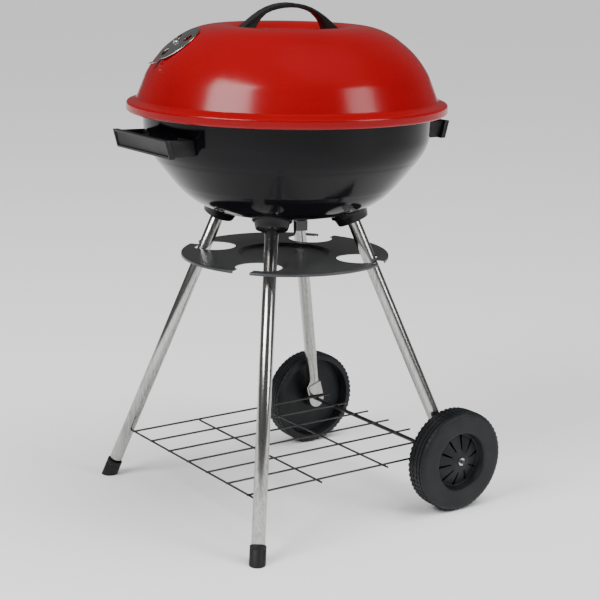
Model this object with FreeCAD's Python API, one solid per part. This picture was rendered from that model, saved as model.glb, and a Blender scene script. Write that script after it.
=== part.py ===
import FreeCAD, Part
import math
import os

# Kettle charcoal grill on two foot legs and two wheel legs. Millimetres, +Z up, z = 0 on the ground.
# X runs along the wheel axle, and +Y runs from the foot legs to the wheel legs. Everything is modelled
# about the kettle's own upright axis, and is moved at the end so that the origin is the middle of the
# footprint.

V = FreeCAD.Vector
UP = V(0, 0, 1)
ORIGIN = V(0, 0, 0)

# Kettle sheet metal
SHEET = 1.2
LID_R = 228.0          # outside of the lid's rolled rim
RIM_Z = 577.5          # lowest edge of the lid
BAND_TOP = 590.0       # top of the upright band round the lid's rim
SHOULDER = (160.2, 675.0)
CREST = (98.0, 697.3)  # top ring of the lid, round the sunk middle
DISH = (54.0, 685.3)   # edge of the flat floor of the sunk middle
BOWL_FLOOR_R = 70.0
BOWL_FLOOR_Z = 432.5
BOWL_CURVE_R = 115.3   # of the curve from the flat floor up to the belly
BOWL_BELLY = (159.0, 474.5)
BOWL_HIP = (189.0, 511.5)
BOWL_SIDE = (203.3, 540.0)
BOWL_LIP_R = 206.6
BOWL_LIP_Z = 591.5
LIP_BEAD_R = 3.2
SPLIT_GAP = 0.4        # running gap between parts that slide or turn on each other

# Legs and sockets
TUBE_R = 9.5
TUBE_WALL = 1.2
LEG_TOP = 72.0         # x and y of a leg's axis where it leaves its socket
LEG_TOP_Z = 417.0
FOOT_X = 210.0
FOOT_Y = 181.0
TUBE_END_Z = 430.0     # upper end of every leg tube, inside its socket
CAP_R = 11.5
CAP_HEIGHT = 24.0
SOCKET_R_LOW = 22.5
SOCKET_R_HIGH = 27.0
SOCKET_RISE = 5.0      # of the cup's lower end above the leg's upper point

# Wheels and axle
AXLE_Y = 180.5
AXLE_R = 3.0
WHEEL_R = 75.0
WHEEL_IN = 168.0
WHEEL_OUT = 203.0
PLATE_X = 164.5        # middle of the flattened lower end of a wheel leg
PLATE_T = 3.0
PLATE_HALF = 14.0      # half the width of the flattened end
BEND_Z = 112.0         # where a wheel leg starts to be flattened
PLATE_TOP = (174.5, 98.0)
HUB_R = 12.0
BORE_GAP = 0.05

# Bottom rack
WIRE_R = 1.5
LONG_WIRES = 7
RACK_HALF = 160.0
RACK_Z = WHEEL_R + AXLE_R + WIRE_R
CROSS_Z = RACK_Z - 2.2
RACK_OVERHANG = 22.0

# Ash tray
TRAY_R = 151.0
TRAY_Z = 371.0
TRAY_T = 1.5
TRAY_SKIRT = 4.0
TRAY_WELL_R = 64.0
TRAY_WELL_DEPTH = 4.0
LEG_PATH_R = 121.6     # radius of the circle on which the legs cross the tray
SLOT_OUT_R = 135.5      # inner edge of the horns
SLOT_BAY_R = 33.0
SLOT_BAY_AT = 113.0
SLOT_BAY_TURN = -9.0   # middle of the bay, in degrees past the leg
SLOT_MOUTH = 26.0
SLOT_TURN = 14.0       # degrees the tray turns to come free of the legs

# Grates
COOKING_Z = 560.0
COOKING_R = 197.0
COAL_Z = 480.0
COAL_R = 157.0
RING_WIRE_R = 2.5
BAR_R = 1.6

# Lid handle and lid vent
HANDLE_ANGLE = 256.0   # direction from the kettle's axis to the lid vent and the near end of the handle
HANDLE_TOP = 728.0
HANDLE_W = 26.0
VENT_AT = (161.5, 674.2)
VENT_TILT = 53.5       # degrees of the vent's axis above level
VENT_R = 35.0
VENT_HOLE_R = 7.0
VENT_HOLE_CIRCLE = 22.0

# Side handles
GRIP_TOP = (-241.5, 557.0)
GRIP_LOW = (-234.5, 531.5)
GRIP_HALF = 73.0
GRIP_T = 8.0
ARM_X = 62.0
ARM_T = 6.0

GROUND_SHIFT = (AXLE_Y + WHEEL_R + GRIP_TOP[0]) / 2


def profile(start, *steps):
    """An open wire in the XZ plane: a step of one point is a line, and of two an arc through the first."""
    edges = []
    here = V(start[0], 0, start[1])
    for step in steps:
        points = [V(r, 0, z) for r, z in step]
        if len(points) == 1:
            edges.append(Part.LineSegment(here, points[0]).toShape())
        else:
            edges.append(Part.Arc(here, points[0], points[1]).toShape())
        here = points[-1]
    return Part.Wire(edges)


def spin(face, centre=ORIGIN, axis=UP):
    """A full turn of a face, always as a solid that is the right way out."""
    solid = Part.Solid(face.revolve(centre, axis, 360).Shells[0])
    if solid.Volume < 0:
        solid.reverse()
    return solid


def spin_sheet(face):
    """A full turn of a kettle face, with its curves freed from the tori that would cross themselves."""
    return spin(face.toNurbs().Faces[0])


def closed_spin(open_wire, corners=(), turn=spin_sheet):
    """The solid inside a profile that is closed through the given corners."""
    ends = [open_wire.OrderedVertexes[-1].Point, open_wire.OrderedVertexes[0].Point]
    points = [ends[0]] + [V(r, 0, z) for r, z in corners] + [ends[1]]
    edges = list(open_wire.Edges)
    for a, b in zip(points, points[1:]):
        edges.append(Part.LineSegment(a, b).toShape())
    return turn(Part.Face(Part.Wire(Part.__sortEdges__(edges))))


def rod(a, b, radius):
    return Part.makeCylinder(radius, (b - a).Length, a, b - a)


def polygon(points):
    return Part.Face(Part.makePolygon(points + [points[0]]))


def prism_x(points, x0, x1):
    """A prism along X whose section is given as (y, z) points."""
    return polygon([V(x0, y, z) for y, z in points]).extrude(V(x1 - x0, 0, 0))


def hexagon(radius, height, at, axis):
    points = [V(radius * math.cos(k * math.pi / 3), radius * math.sin(k * math.pi / 3), 0) for k in range(6)]
    nut = polygon(points).extrude(V(0, 0, height))
    nut.Placement = FreeCAD.Placement(at, FreeCAD.Rotation(UP, axis))
    return nut


def turned(shape, degrees):
    copy = shape.copy()
    copy.rotate(ORIGIN, UP, degrees)
    return copy


def polar(radius, degrees, z=0.0):
    a = math.radians(degrees)
    return V(radius * math.cos(a), radius * math.sin(a), z)


def fused(shapes):
    whole = shapes[0] if len(shapes) == 1 else shapes[0].multiFuse(shapes[1:])
    return whole.removeSplitter()


# ---------------------------------------------------------------- kettle

def bowl_outline():
    return profile(
        (0, BOWL_FLOOR_Z), [(BOWL_FLOOR_R, BOWL_FLOOR_Z)], [(116.9, 442.47), BOWL_BELLY], [BOWL_HIP],
        [(198.3, 524.7), BOWL_SIDE], [(BOWL_LIP_R, BOWL_LIP_Z)],
    )


def bowl_outer():
    """The bowl as if it were filled to its lip."""
    return closed_spin(bowl_outline(), [(0, BOWL_LIP_Z)])


def lid_outline():
    return profile(
        (224.6, RIM_Z), [(227.2, RIM_Z + 0.9), (LID_R, RIM_Z + 3.4)], [(LID_R, BAND_TOP - 2)],
        [(227.3, 590.0), (225.4, 591.2)], [(216.6, 594.0)], [(214.2, 595.2), (212.9, 597.6)], [(200.5, 628.5)],
        [(183.2, 654.0), SHOULDER], [(131.0, 691.6), CREST], [(86.6, 695.8), (76.0, 691.3)],
        [(65.4, 686.8), DISH], [(0, DISH[1])],
    )


def lid_outer():
    return closed_spin(lid_outline(), [(0, RIM_Z)], spin)


def skin(outline, inward, turn=spin_sheet):
    """Sheet of even thickness on the inner side of an outline, spun round the kettle's axis."""
    return turn(outline.makeOffset2D(inward * SHEET, 0, True, True, False))


SOCKET_ANGLES = (45.0, 135.0, 225.0, 315.0)
SOCKET_BOLT_R = 103.0
BOWL_VENT_HOLES = (90.0, 210.0, 330.0)
BOWL_VENT_CIRCLE = 32.0
BOWL_VENT_HOLE_R = 11.0
M5 = 2.5
M5_HOLE = 2.7
GRIP_BOLT_X = 52.0


def grip_bolt_directions():
    side = math.degrees(math.atan2(math.sqrt(BOWL_SIDE[0] ** 2 - GRIP_BOLT_X ** 2), GRIP_BOLT_X))
    return (side, 180 - side, 180 + side, 360 - side)


GRIP_BOLT_Z = 545.0


def bowl():
    shell = skin(bowl_outline(), 1)
    bead = Part.makeTorus(BOWL_LIP_R + LIP_BEAD_R - 0.6, LIP_BEAD_R, V(0, 0, BOWL_LIP_Z))
    holes = [Part.makeCylinder(M5_HOLE, 20, polar(SOCKET_BOLT_R, a, BOWL_FLOOR_Z - 5)) for a in SOCKET_ANGLES]
    holes += [Part.makeCylinder(BOWL_VENT_HOLE_R, 10, polar(BOWL_VENT_CIRCLE, a, BOWL_FLOOR_Z - 5))
              for a in BOWL_VENT_HOLES]
    holes.append(Part.makeCylinder(M5_HOLE, 10, V(0, 0, BOWL_FLOOR_Z - 5)))
    holes += [rod(polar(190, a, GRIP_BOLT_Z), polar(215, a, GRIP_BOLT_Z), M5_HOLE)
              for a in grip_bolt_directions()]
    return fused([shell, bead]).cut(holes)


# Bottom vent: a turning disc under the bowl's floor
FLAP_R = 56.0
FLAP_T = 1.2
FLAP_TOP = BOWL_FLOOR_Z - SPLIT_GAP
LEVER_REACH = 84.0
LEVER_AT = -18.0       # direction of the lever with the vent open


def bowl_vent_disc():
    low = FLAP_TOP - FLAP_T
    disc = Part.makeCylinder(FLAP_R, FLAP_T, V(0, 0, low))
    lever = turned(Part.makeBox(LEVER_REACH - FLAP_R + 10, 16, FLAP_T, V(FLAP_R - 10, -8, low)), LEVER_AT)
    grip = turned(Part.makeBox(FLAP_T, 16, 14, V(LEVER_REACH - FLAP_T, -8, low - 14 + FLAP_T)), LEVER_AT)
    holes = [Part.makeCylinder(BOWL_VENT_HOLE_R, 10, polar(BOWL_VENT_CIRCLE, a, low - 4))
             for a in BOWL_VENT_HOLES]
    holes.append(Part.makeCylinder(M5 + BORE_GAP, 10, V(0, 0, low - 4)))
    return fused([disc, lever, grip]).cut(holes)


def bowl_vent_rivet():
    """Shoulder rivet: a shank through disc and floor, with a head below and one inside the bowl."""
    low = FLAP_TOP - FLAP_T - SPLIT_GAP
    shank = rod(V(0, 0, low), V(0, 0, BOWL_FLOOR_Z + SHEET), M5)
    lower = Part.makeCylinder(6.0, 1.8, V(0, 0, low - 1.8))
    upper = Part.makeCylinder(5.0, 1.8, V(0, 0, BOWL_FLOOR_Z + SHEET))
    return fused([shank, lower, upper])


# ---------------------------------------------------------------- legs and sockets

def leg_ends(front):
    """Top and bottom points of a leg's axis on the +X side."""
    top = V(LEG_TOP, -LEG_TOP if front else LEG_TOP, LEG_TOP_Z)
    low = V(FOOT_X, -FOOT_Y, 0) if front else V(163.0, 171.0, BEND_Z)
    return top, low


def on_axis(a, b, z):
    """The point of the line through a and b at height z."""
    return a + (b - a) * ((z - a.z) / (b.z - a.z))


def mirrored_x(shape):
    return shape.mirror(ORIGIN, V(1, 0, 0))


def leg_tube(top, low, z_end):
    start = on_axis(top, low, TUBE_END_Z)
    end = on_axis(top, low, z_end)
    return rod(start, end, TUBE_R), rod(start, end, TUBE_R - TUBE_WALL)


def foot_leg():
    top, low = leg_ends(True)
    tube, bore = leg_tube(top, low, 5.0)
    hole = Part.makeCylinder(WIRE_R + BORE_GAP, 60, on_axis(top, low, CROSS_Z) - V(30, 0, 0), V(1, 0, 0))
    return tube.cut(bore).cut(hole)


def ring_section(centre, wide, normal, half_wide, half_thin):
    """A closed round section, whose wider half-axis lies along wide."""
    if half_wide == half_thin:
        curve = Part.Circle(ORIGIN, UP, half_wide).toShape()
    else:
        curve = Part.Ellipse(ORIGIN, half_wide, half_thin).toShape()
    wire = Part.Wire(curve)
    wire.Placement = FreeCAD.Placement(centre, FreeCAD.Rotation(wide, normal.cross(wide), normal, "ZXY"))
    return wire


def wheel_leg():
    """A tube whose lower end is pressed flat into an eye for the axle."""
    top, low = leg_ends(False)
    tube, bore = leg_tube(top, low, BEND_Z)
    along = V(0, AXLE_Y - PLATE_TOP[0], WHEEL_R - PLATE_TOP[1]).normalize()
    across = V(0, -along.z, along.y)
    down = (low - top).normalize()
    wide = (across - down * across.dot(down)).normalize()
    plate_top = V(PLATE_X, *PLATE_TOP)
    pressed = Part.makeLoft([
        ring_section(low, wide, down, TUBE_R, TUBE_R),
        ring_section(plate_top, across, along, PLATE_HALF, PLATE_T / 2),
    ], True)
    eye = V(PLATE_X, AXLE_Y, WHEEL_R)
    half = across * PLATE_HALF
    start = plate_top - along * 3
    edges = [
        Part.LineSegment(eye + half, start + half).toShape(),
        Part.LineSegment(start + half, start - half).toShape(),
        Part.LineSegment(start - half, eye - half).toShape(),
        Part.Arc(eye - half, eye + along * PLATE_HALF, eye + half).toShape(),
    ]
    plate = Part.Face(Part.Wire(edges)).extrude(V(PLATE_T, 0, 0))
    plate.translate(V(-PLATE_T / 2, 0, 0))
    hole = Part.makeCylinder(AXLE_R + BORE_GAP, 20, eye - V(10, 0, 0), V(1, 0, 0))
    return fused([tube, pressed, plate]).cut(bore).cut(hole)


def foot_cap():
    top, low = leg_ends(True)
    down = (low - top).normalize()
    outer = rod(on_axis(top, low, CAP_HEIGHT), low + down * 12, CAP_R)
    bore = rod(on_axis(top, low, CAP_HEIGHT + 10), on_axis(top, low, 5.0), TUBE_R)
    ground = Part.makeBox(100, 100, 30, V(FOOT_X - 50, -FOOT_Y - 50, -30))
    return outer.cut(bore).cut(ground)


def leg_socket(front):
    """Moulded cup between the bowl's underside and the leg's upper end."""
    top, low = leg_ends(front)
    axis = (top - low).normalize()
    base = top + axis * SOCKET_RISE
    cup = Part.makeCone(SOCKET_R_LOW, SOCKET_R_HIGH, 34, base, axis)
    brim = Part.makeCylinder(SOCKET_R_HIGH + 1.5, 26, base + axis * 12, axis)
    bore = rod(base - axis * 15, on_axis(top, low, TUBE_END_Z), TUBE_R)
    cup = fused([cup, brim]).cut([bowl_outer(), bore])
    bolt = Part.makeCylinder(M5_HOLE, 30, socket_bolt_point(front) - V(0, 0, 20))
    return cup.cut(bolt)


def socket_bolt_point(front):
    return polar(SOCKET_BOLT_R, -45 if front else 45, BOWL_FLOOR_Z + 8)


def bowl_height_at(radius):
    """Height of the bowl's outside where it curves up from the flat floor."""
    return BOWL_FLOOR_Z + BOWL_CURVE_R - math.sqrt(BOWL_CURVE_R ** 2 - (radius - BOWL_FLOOR_R) ** 2)


def socket_bolts():
    """Bolt heads inside the bowl, with their shanks down into the sockets."""
    z = bowl_height_at(SOCKET_BOLT_R) + SHEET
    made = []
    for angle in SOCKET_ANGLES:
        head = Part.makeCylinder(5.0, 3.6, polar(SOCKET_BOLT_R, angle, z + 4.4))
        washer = Part.makeCylinder(6.5, 1.4, polar(SOCKET_BOLT_R, angle, z + 3.1))
        shank = Part.makeCylinder(M5, 8, polar(SOCKET_BOLT_R, angle, z - 4))
        made.append(fused([shank, washer, head]))
    return Part.makeCompound(made)


# ---------------------------------------------------------------- wheels, axle and rack

AXLE_END = 205.5
CLIP_X = 201.0
CLIP_T = 1.2


def axle():
    bar = rod(V(-AXLE_END, AXLE_Y, WHEEL_R), V(AXLE_END, AXLE_Y, WHEEL_R), AXLE_R)
    for side in (-1, 1):
        ring = Part.makeCylinder(AXLE_R + 1, CLIP_T, V(side * CLIP_X, AXLE_Y, WHEEL_R), V(side, 0, 0))
        core = Part.makeCylinder(AXLE_R - 0.6, CLIP_T, V(side * CLIP_X, AXLE_Y, WHEEL_R), V(side, 0, 0))
        bar = bar.cut(ring.cut(core))
    return bar


def axle_clips():
    """Spring clips in the axle's end grooves, each a ring with a gap."""
    made = []
    for side in (-1, 1):
        at = V(side * CLIP_X, AXLE_Y, WHEEL_R)
        ring = Part.makeCylinder(5.6, CLIP_T, at, V(side, 0, 0))
        bore = Part.makeCylinder(AXLE_R - 0.6, CLIP_T, at, V(side, 0, 0))
        gap = Part.makeBox(CLIP_T, 8, 3.6, V(min(at.x, at.x + side * CLIP_T), AXLE_Y, WHEEL_R - 1.8))
        made.append(ring.cut([bore, gap]))
    return Part.makeCompound(made)


def axle_washers():
    made = []
    for side in (-1, 1):
        at = V(side * (PLATE_X + PLATE_T / 2 + 0.1), AXLE_Y, WHEEL_R)
        ring = Part.makeCylinder(8.0, 1.5, at, V(side, 0, 0))
        made.append(ring.cut(Part.makeCylinder(AXLE_R, 1.5, at, V(side, 0, 0))))
    return Part.makeCompound(made)


SPOKES = 10
TREAD_GROOVES = (178.0, 185.5, 193.0)
HUB_END = 200.6


def wheel():
    """One-piece moulded wheel on the +X side: a wide smooth side, a sunk middle and a coned hub."""
    bore = AXLE_R + BORE_GAP

    def at(x, r):
        return V(x, AXLE_Y + r, WHEEL_R)

    outline = [
        (WHEEL_IN, bore), (HUB_END, bore), (HUB_END, HUB_R), (191.0, 39.5), (200.0, 41.5), (WHEEL_OUT, 45.0),
        (WHEEL_OUT, 68.0),
    ]
    edges = [Part.LineSegment(at(*a), at(*b)).toShape() for a, b in zip(outline, outline[1:])]
    edges.append(Part.Arc(at(WHEEL_OUT, 68.0), at(200.8, 73.0), at(195.5, WHEEL_R)).toShape())
    inner = [
        (195.5, WHEEL_R), (174.0, WHEEL_R), (WHEEL_IN, 71.0), (WHEEL_IN, 64.0), (184.0, 61.0),
        (184.0, 16.0), (WHEEL_IN, 14.0), (WHEEL_IN, bore),
    ]
    edges += [Part.LineSegment(at(*a), at(*b)).toShape() for a, b in zip(inner, inner[1:])]
    centre = V(0, AXLE_Y, WHEEL_R)
    body = spin(Part.Face(Part.Wire(edges)), centre, V(1, 0, 0))
    cuts = []
    for k in range(SPOKES):
        slit = prism_x([(AXLE_Y + 17, WHEEL_R - 0.8), (AXLE_Y + 38, WHEEL_R - 1.8),
                        (AXLE_Y + 38, WHEEL_R + 1.8), (AXLE_Y + 17, WHEEL_R + 0.8)], 188.5, 202)
        slit.rotate(centre, V(1, 0, 0), 360 / SPOKES * k + 10)
        cuts.append(slit)
    for x in TREAD_GROOVES:
        ring = Part.makeCylinder(WHEEL_R + 2, 1.6, V(x - 0.8, AXLE_Y, WHEEL_R), V(1, 0, 0))
        cuts.append(ring.cut(Part.makeCylinder(WHEEL_R - 1.2, 1.6, V(x - 0.8, AXLE_Y, WHEEL_R), V(1, 0, 0))))
    return body.cut(cuts)


def rack_long_wires():
    top, low = leg_ends(True)
    start = on_axis(top, low, CROSS_Z).y - 5
    end = AXLE_Y + RACK_OVERHANG
    pitch = 2 * RACK_HALF / (LONG_WIRES - 1)
    xs = [-RACK_HALF + pitch * k for k in range(LONG_WIRES)]
    return Part.makeCompound([rod(V(x, start, RACK_Z), V(x, end, RACK_Z), WIRE_R) for x in xs])


def bottom_rack():
    """Welded wire shelf: seven long wires lie on the axle and on three cross wires."""
    top, low = leg_ends(True)
    front = on_axis(top, low, CROSS_Z)
    reach = RACK_HALF + 8
    bars = [rod(V(-front.x - 7, front.y, CROSS_Z), V(front.x + 7, front.y, CROSS_Z), WIRE_R)]
    bars += [rod(V(-RACK_HALF, y, CROSS_Z), V(reach, y, CROSS_Z), WIRE_R) for y in (-47.0, 70.0)]
    return fused(list(rack_long_wires().Solids) + bars)


# ---------------------------------------------------------------- ash tray

def leg_angle_on_tray(front):
    top, low = leg_ends(front)
    at = on_axis(top, low, TRAY_Z)
    return math.degrees(math.atan2(at.y, at.x))


def tray_slot(angle):
    """Hooked slot for one leg: a mouth at the rim, and a round bay that runs in under a pointed horn."""
    bay = Part.makeCylinder(SLOT_BAY_R, 30, polar(SLOT_BAY_AT, angle + SLOT_BAY_TURN, -15))
    bay = bay.common(Part.makeCylinder(SLOT_OUT_R, 30, V(0, 0, -15)))
    mouth = Part.makeBox(60, SLOT_MOUTH, 30, V(LEG_PATH_R, -SLOT_MOUTH / 2, -15))
    slot = fused([bay, turned(mouth, angle - SLOT_TURN)])
    slot.translate(V(0, 0, TRAY_Z))
    return slot


def ash_tray():
    """Pressed disc with a sunk middle and a turned-down edge, hung on the four legs by its horns."""
    outline = profile(
        (TRAY_R, TRAY_Z - TRAY_SKIRT), [(TRAY_R, TRAY_Z - 1.2)],
        [(TRAY_R - 0.35, TRAY_Z - 0.35), (TRAY_R - 1.2, TRAY_Z)],
        [(TRAY_WELL_R + 4, TRAY_Z)], [(TRAY_WELL_R, TRAY_Z - TRAY_WELL_DEPTH)],
        [(0, TRAY_Z - TRAY_WELL_DEPTH)],
    )
    disc = spin(outline.makeOffset2D(TRAY_T, 0, True, True, False))
    angles = (leg_angle_on_tray(True), leg_angle_on_tray(False))
    slots = [tray_slot(a) for a in (angles[0], angles[1], 180 - angles[0], 180 - angles[1])]
    return disc.cut(slots)


# ---------------------------------------------------------------- grates

def round_grate(radius, z, pitch, cross_wires):
    """Parallel bars under a ring, tied by cross wires below the bars."""
    ring = Part.makeTorus(radius - RING_WIRE_R, RING_WIRE_R, V(0, 0, z))
    made = [ring]
    count = int((radius - 12) / pitch)
    for k in range(-count, count + 1):
        half = math.sqrt((radius - RING_WIRE_R) ** 2 - (k * pitch) ** 2)
        made.append(rod(V(-half, k * pitch, z), V(half, k * pitch, z), BAR_R))
    for x in cross_wires:
        half = math.sqrt((radius - RING_WIRE_R) ** 2 - x ** 2)
        made.append(rod(V(x, -half, z - 2), V(x, half, z - 2), BAR_R))
    return fused(made)


def cooking_grate():
    return round_grate(COOKING_R, COOKING_Z, 15.5, (-90.0, 90.0))


def charcoal_grate():
    return round_grate(COAL_R, COAL_Z, 21.0, (-70.0, 70.0))


REST_ANGLES = (45.0, 135.0, 225.0, 315.0)
REST_TOP = COOKING_Z - RING_WIRE_R - 0.1
COAL_REST_TOP = COAL_Z - RING_WIRE_R - 0.1
COAL_REST_ANGLES = (0.0, 90.0, 180.0, 270.0)


def bowl_inner():
    """The room inside the bowl."""
    inside = bowl_outline().makeOffset2D(SHEET, 0, False, True, False)
    return closed_spin(inside, [(0, BOWL_LIP_Z)])


def grate_rests():
    """Four bent tabs, spot-welded to the bowl's wall, that carry the cooking grate."""
    room = bowl_inner()
    shelf = Part.makeBox(19, 16, 1.5, V(187, -8, REST_TOP - 1.5))
    leaf = Part.makeBox(8, 16, 20, V(199.5, -8, REST_TOP - 20))
    tab = fused([shelf, leaf])
    return Part.makeCompound([turned(tab, a).common(room) for a in REST_ANGLES])


def coal_rests():
    """Four small ledges on the bowl's wall that carry the charcoal grate."""
    room = bowl_inner()
    ledge = Part.makeBox(16, 14, 8, V(149, -7, COAL_REST_TOP - 8))
    return Part.makeCompound([turned(ledge, a).common(room) for a in COAL_REST_ANGLES])


# ---------------------------------------------------------------- lid, its handle and its vent

def vent_frame():
    """Centre and outward axis of the lid vent."""
    centre = polar(VENT_AT[0], HANDLE_ANGLE, VENT_AT[1])
    tilt = math.radians(VENT_TILT)
    level = polar(1.0, HANDLE_ANGLE)
    return centre, level * math.cos(tilt) + UP * math.sin(tilt)


def vent_place(shape):
    """Moves a shape from the vent's own frame, where +Z leaves the lid and +X points down the slope."""
    centre, axis = vent_frame()
    down = (polar(1.0, HANDLE_ANGLE) - axis * polar(1.0, HANDLE_ANGLE).dot(axis)).normalize()
    shape.Placement = FreeCAD.Placement(centre, FreeCAD.Rotation(down, axis.cross(down), axis, "ZXY"))
    return shape


def vent_holes(radius):
    return [Part.makeCylinder(radius, 30, polar(VENT_HOLE_CIRCLE, a, -15)) for a in (0.0, 120.0, 240.0)]


HANDLE_SCREW_R = 64.0


def lid():
    shell = skin(lid_outline(), LID_INWARD, spin)
    holes = [vent_place(Part.makeCompound(vent_holes(VENT_HOLE_R)
                                          + [Part.makeCylinder(M5_HOLE, 30, V(0, 0, -15))]))]
    for angle in (HANDLE_ANGLE, HANDLE_ANGLE + 180):
        holes.append(Part.makeCylinder(M5_HOLE, 30, polar(HANDLE_SCREW_R, angle, DISH[1] - 10)))
    return shell.cut(holes)


LID_INWARD = 1
CAP_SPHERE_R = 240.0
VENT_T = 1.2
VENT_LIFT = 1.0
TAB_END = 50.0


def lid_vent_disc():
    """Slightly domed disc with three holes and a turned-up tab, on the outside of the lid."""
    crown = V(0, 0, VENT_LIFT + VENT_T - CAP_SPHERE_R)
    shell = Part.makeSphere(CAP_SPHERE_R, crown).cut(Part.makeSphere(CAP_SPHERE_R - VENT_T, crown))
    disc = shell.common(Part.makeCylinder(VENT_R, 20, V(0, 0, -10)))
    sag = CAP_SPHERE_R - math.sqrt(CAP_SPHERE_R ** 2 - VENT_R ** 2)
    z = VENT_LIFT - sag
    side = [V(VENT_R - 2, 0, z), V(TAB_END - 9, 0, z - 0.4), V(TAB_END, 0, z + 3.2),
            V(TAB_END, 0, z + 3.2 + VENT_T), V(TAB_END - 9, 0, z - 0.4 + VENT_T), V(VENT_R - 2, 0, z + VENT_T)]
    tab = polygon([p - V(0, 6, 0) for p in side]).extrude(V(0, 12, 0))
    point = polygon([V(VENT_R - 3, -6, -10), V(TAB_END - 5, -6, -10), V(TAB_END, -2.5, -10), V(TAB_END, 2.5, -10),
                     V(TAB_END - 5, 6, -10), V(VENT_R - 3, 6, -10)]).extrude(V(0, 0, 30))
    whole = fused([disc, tab.common(point)])
    return vent_place(whole.cut(vent_holes(VENT_HOLE_R) + [Part.makeCylinder(M5 + BORE_GAP, 30, V(0, 0, -15))]))


def lid_vent_rivet():
    low = -SHEET - 1.6
    shank = rod(V(0, 0, low), V(0, 0, VENT_LIFT + VENT_T + SPLIT_GAP), M5)
    inside = Part.makeCylinder(5.0, 1.6, V(0, 0, low - 0.1))
    outside = Part.makeCylinder(4.6, 1.8, V(0, 0, VENT_LIFT + VENT_T + SPLIT_GAP))
    wing = Part.makeBox(11, 2.4, 3.4, V(-5.5, -1.2, VENT_LIFT + VENT_T + SPLIT_GAP))
    whole = fused([shank, inside, outside, wing])
    return vent_place(whole)


def handle_side():
    """The handle's arched side view as a face in the XZ plane."""
    top = HANDLE_TOP
    edges = [
        Part.Arc(V(-58, 0, top - 22.5), V(0, 0, top), V(58, 0, top - 22.5)).toShape(),
        Part.LineSegment(V(58, 0, top - 22.5), V(79, 0, top - 43)).toShape(),
        Part.LineSegment(V(79, 0, top - 43), V(55, 0, top - 46)).toShape(),
        Part.Arc(V(55, 0, top - 46), V(50.5, 0, top - 30), V(36.7, 0, top - 14.5)).toShape(),
        Part.Arc(V(36.7, 0, top - 14.5), V(0, 0, top - 6.5), V(-36.7, 0, top - 14.5)).toShape(),
        Part.Arc(V(-36.7, 0, top - 14.5), V(-50.5, 0, top - 30), V(-55, 0, top - 46)).toShape(),
        Part.LineSegment(V(-55, 0, top - 46), V(-79, 0, top - 43)).toShape(),
        Part.LineSegment(V(-79, 0, top - 43), V(-58, 0, top - 22.5)).toShape(),
    ]
    return Part.Face(Part.Wire(edges))


def lid_handle():
    face = handle_side()
    face.translate(V(0, -HANDLE_W / 2, 0))
    bar = turned(face.extrude(V(0, HANDLE_W, 0)), HANDLE_ANGLE)
    bores = [Part.makeCylinder(M5, 16, polar(HANDLE_SCREW_R, a, DISH[1] - 8))
             for a in (HANDLE_ANGLE, HANDLE_ANGLE + 180)]
    return bar.cut([lid_outer()] + bores)


def lid_handle_screws():
    wall = skin(lid_outline(), LID_INWARD, spin)
    made = []
    for a in (HANDLE_ANGLE, HANDLE_ANGLE + 180):
        foot = DISH[1] - 2.2
        shank = Part.makeCylinder(M5, 9, polar(HANDLE_SCREW_R, a, foot))
        head = Part.makeCylinder(5.0, 3.2, polar(HANDLE_SCREW_R, a, foot - 3.2))
        made.append(fused([shank, head]).cut(wall.cut(Part.makeCylinder(
            M5_HOLE, 30, polar(HANDLE_SCREW_R, a, DISH[1] - 10)))))
    return Part.makeCompound(made)


# ---------------------------------------------------------------- side handles

def side_handle():
    """Handle on the -Y side: a leaning grip plate with a sunk face, on two arms with screwed pads."""
    (ty, tz), (ly, lz) = GRIP_TOP, GRIP_LOW
    slab = prism_x([(ty, tz), (ly, lz), (ly + GRIP_T, lz), (ty + GRIP_T, tz)], -GRIP_HALF, GRIP_HALF)
    border = 4.0
    lean = (ly - ty) / (lz - tz)
    inset = [(ty - 1 + lean * border * -1, tz - border), (ly - 1 - lean * border * -1, lz + border)]
    depth = 2.6
    sunk = prism_x([inset[0], inset[1], (inset[1][0] + depth, inset[1][1]), (inset[0][0] + depth, inset[0][1])],
                   -GRIP_HALF + border, GRIP_HALF - border)
    parts = [slab.cut(sunk)]
    for side in (-1, 1):
        x0 = side * ARM_X
        x1 = side * (ARM_X + ARM_T)
        parts.append(prism_x([(ty + 3, tz - 1), (ly + 3, lz + 1), (-185, lz - 1), (-185, tz - 2)],
                             min(x0, x1), max(x0, x1)))
        pad = Part.makeCylinder(PAD_OUT_R, 22, V(0, 0, 533))
        window = Part.makeBox(27, 80, 22, V(ARM_X - 21 if side > 0 else -ARM_X - 6, -230, 533))
        parts.append(pad.common(window))
    hole = [rod(polar(190, a, GRIP_BOLT_Z), polar(215, a, GRIP_BOLT_Z), M5_HOLE)
            for a in grip_bolt_directions()[2:]]
    return fused(parts).cut([bowl_outer()] + hole)


PAD_OUT_R = 208.5


def side_handle_bolts():
    made = []
    for a in grip_bolt_directions():
        shank = rod(polar(197.5, a, GRIP_BOLT_Z), polar(PAD_OUT_R + 1, a, GRIP_BOLT_Z), M5)
        head = rod(polar(PAD_OUT_R, a, GRIP_BOLT_Z), polar(PAD_OUT_R + 3, a, GRIP_BOLT_Z), 4.6)
        made.append(fused([shank, head]))
    return Part.makeCompound(made)


def side_handle_nuts():
    made = []
    for a in grip_bolt_directions():
        nut = hexagon(4.6, 3.4, polar(202.0, a, GRIP_BOLT_Z), polar(-1, a))
        made.append(nut.cut([rod(polar(190, a, GRIP_BOLT_Z), polar(215, a, GRIP_BOLT_Z), M5),
                             skin(bowl_outline(), 1)]))
    return Part.makeCompound(made)


# ---------------------------------------------------------------- assembly

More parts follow.
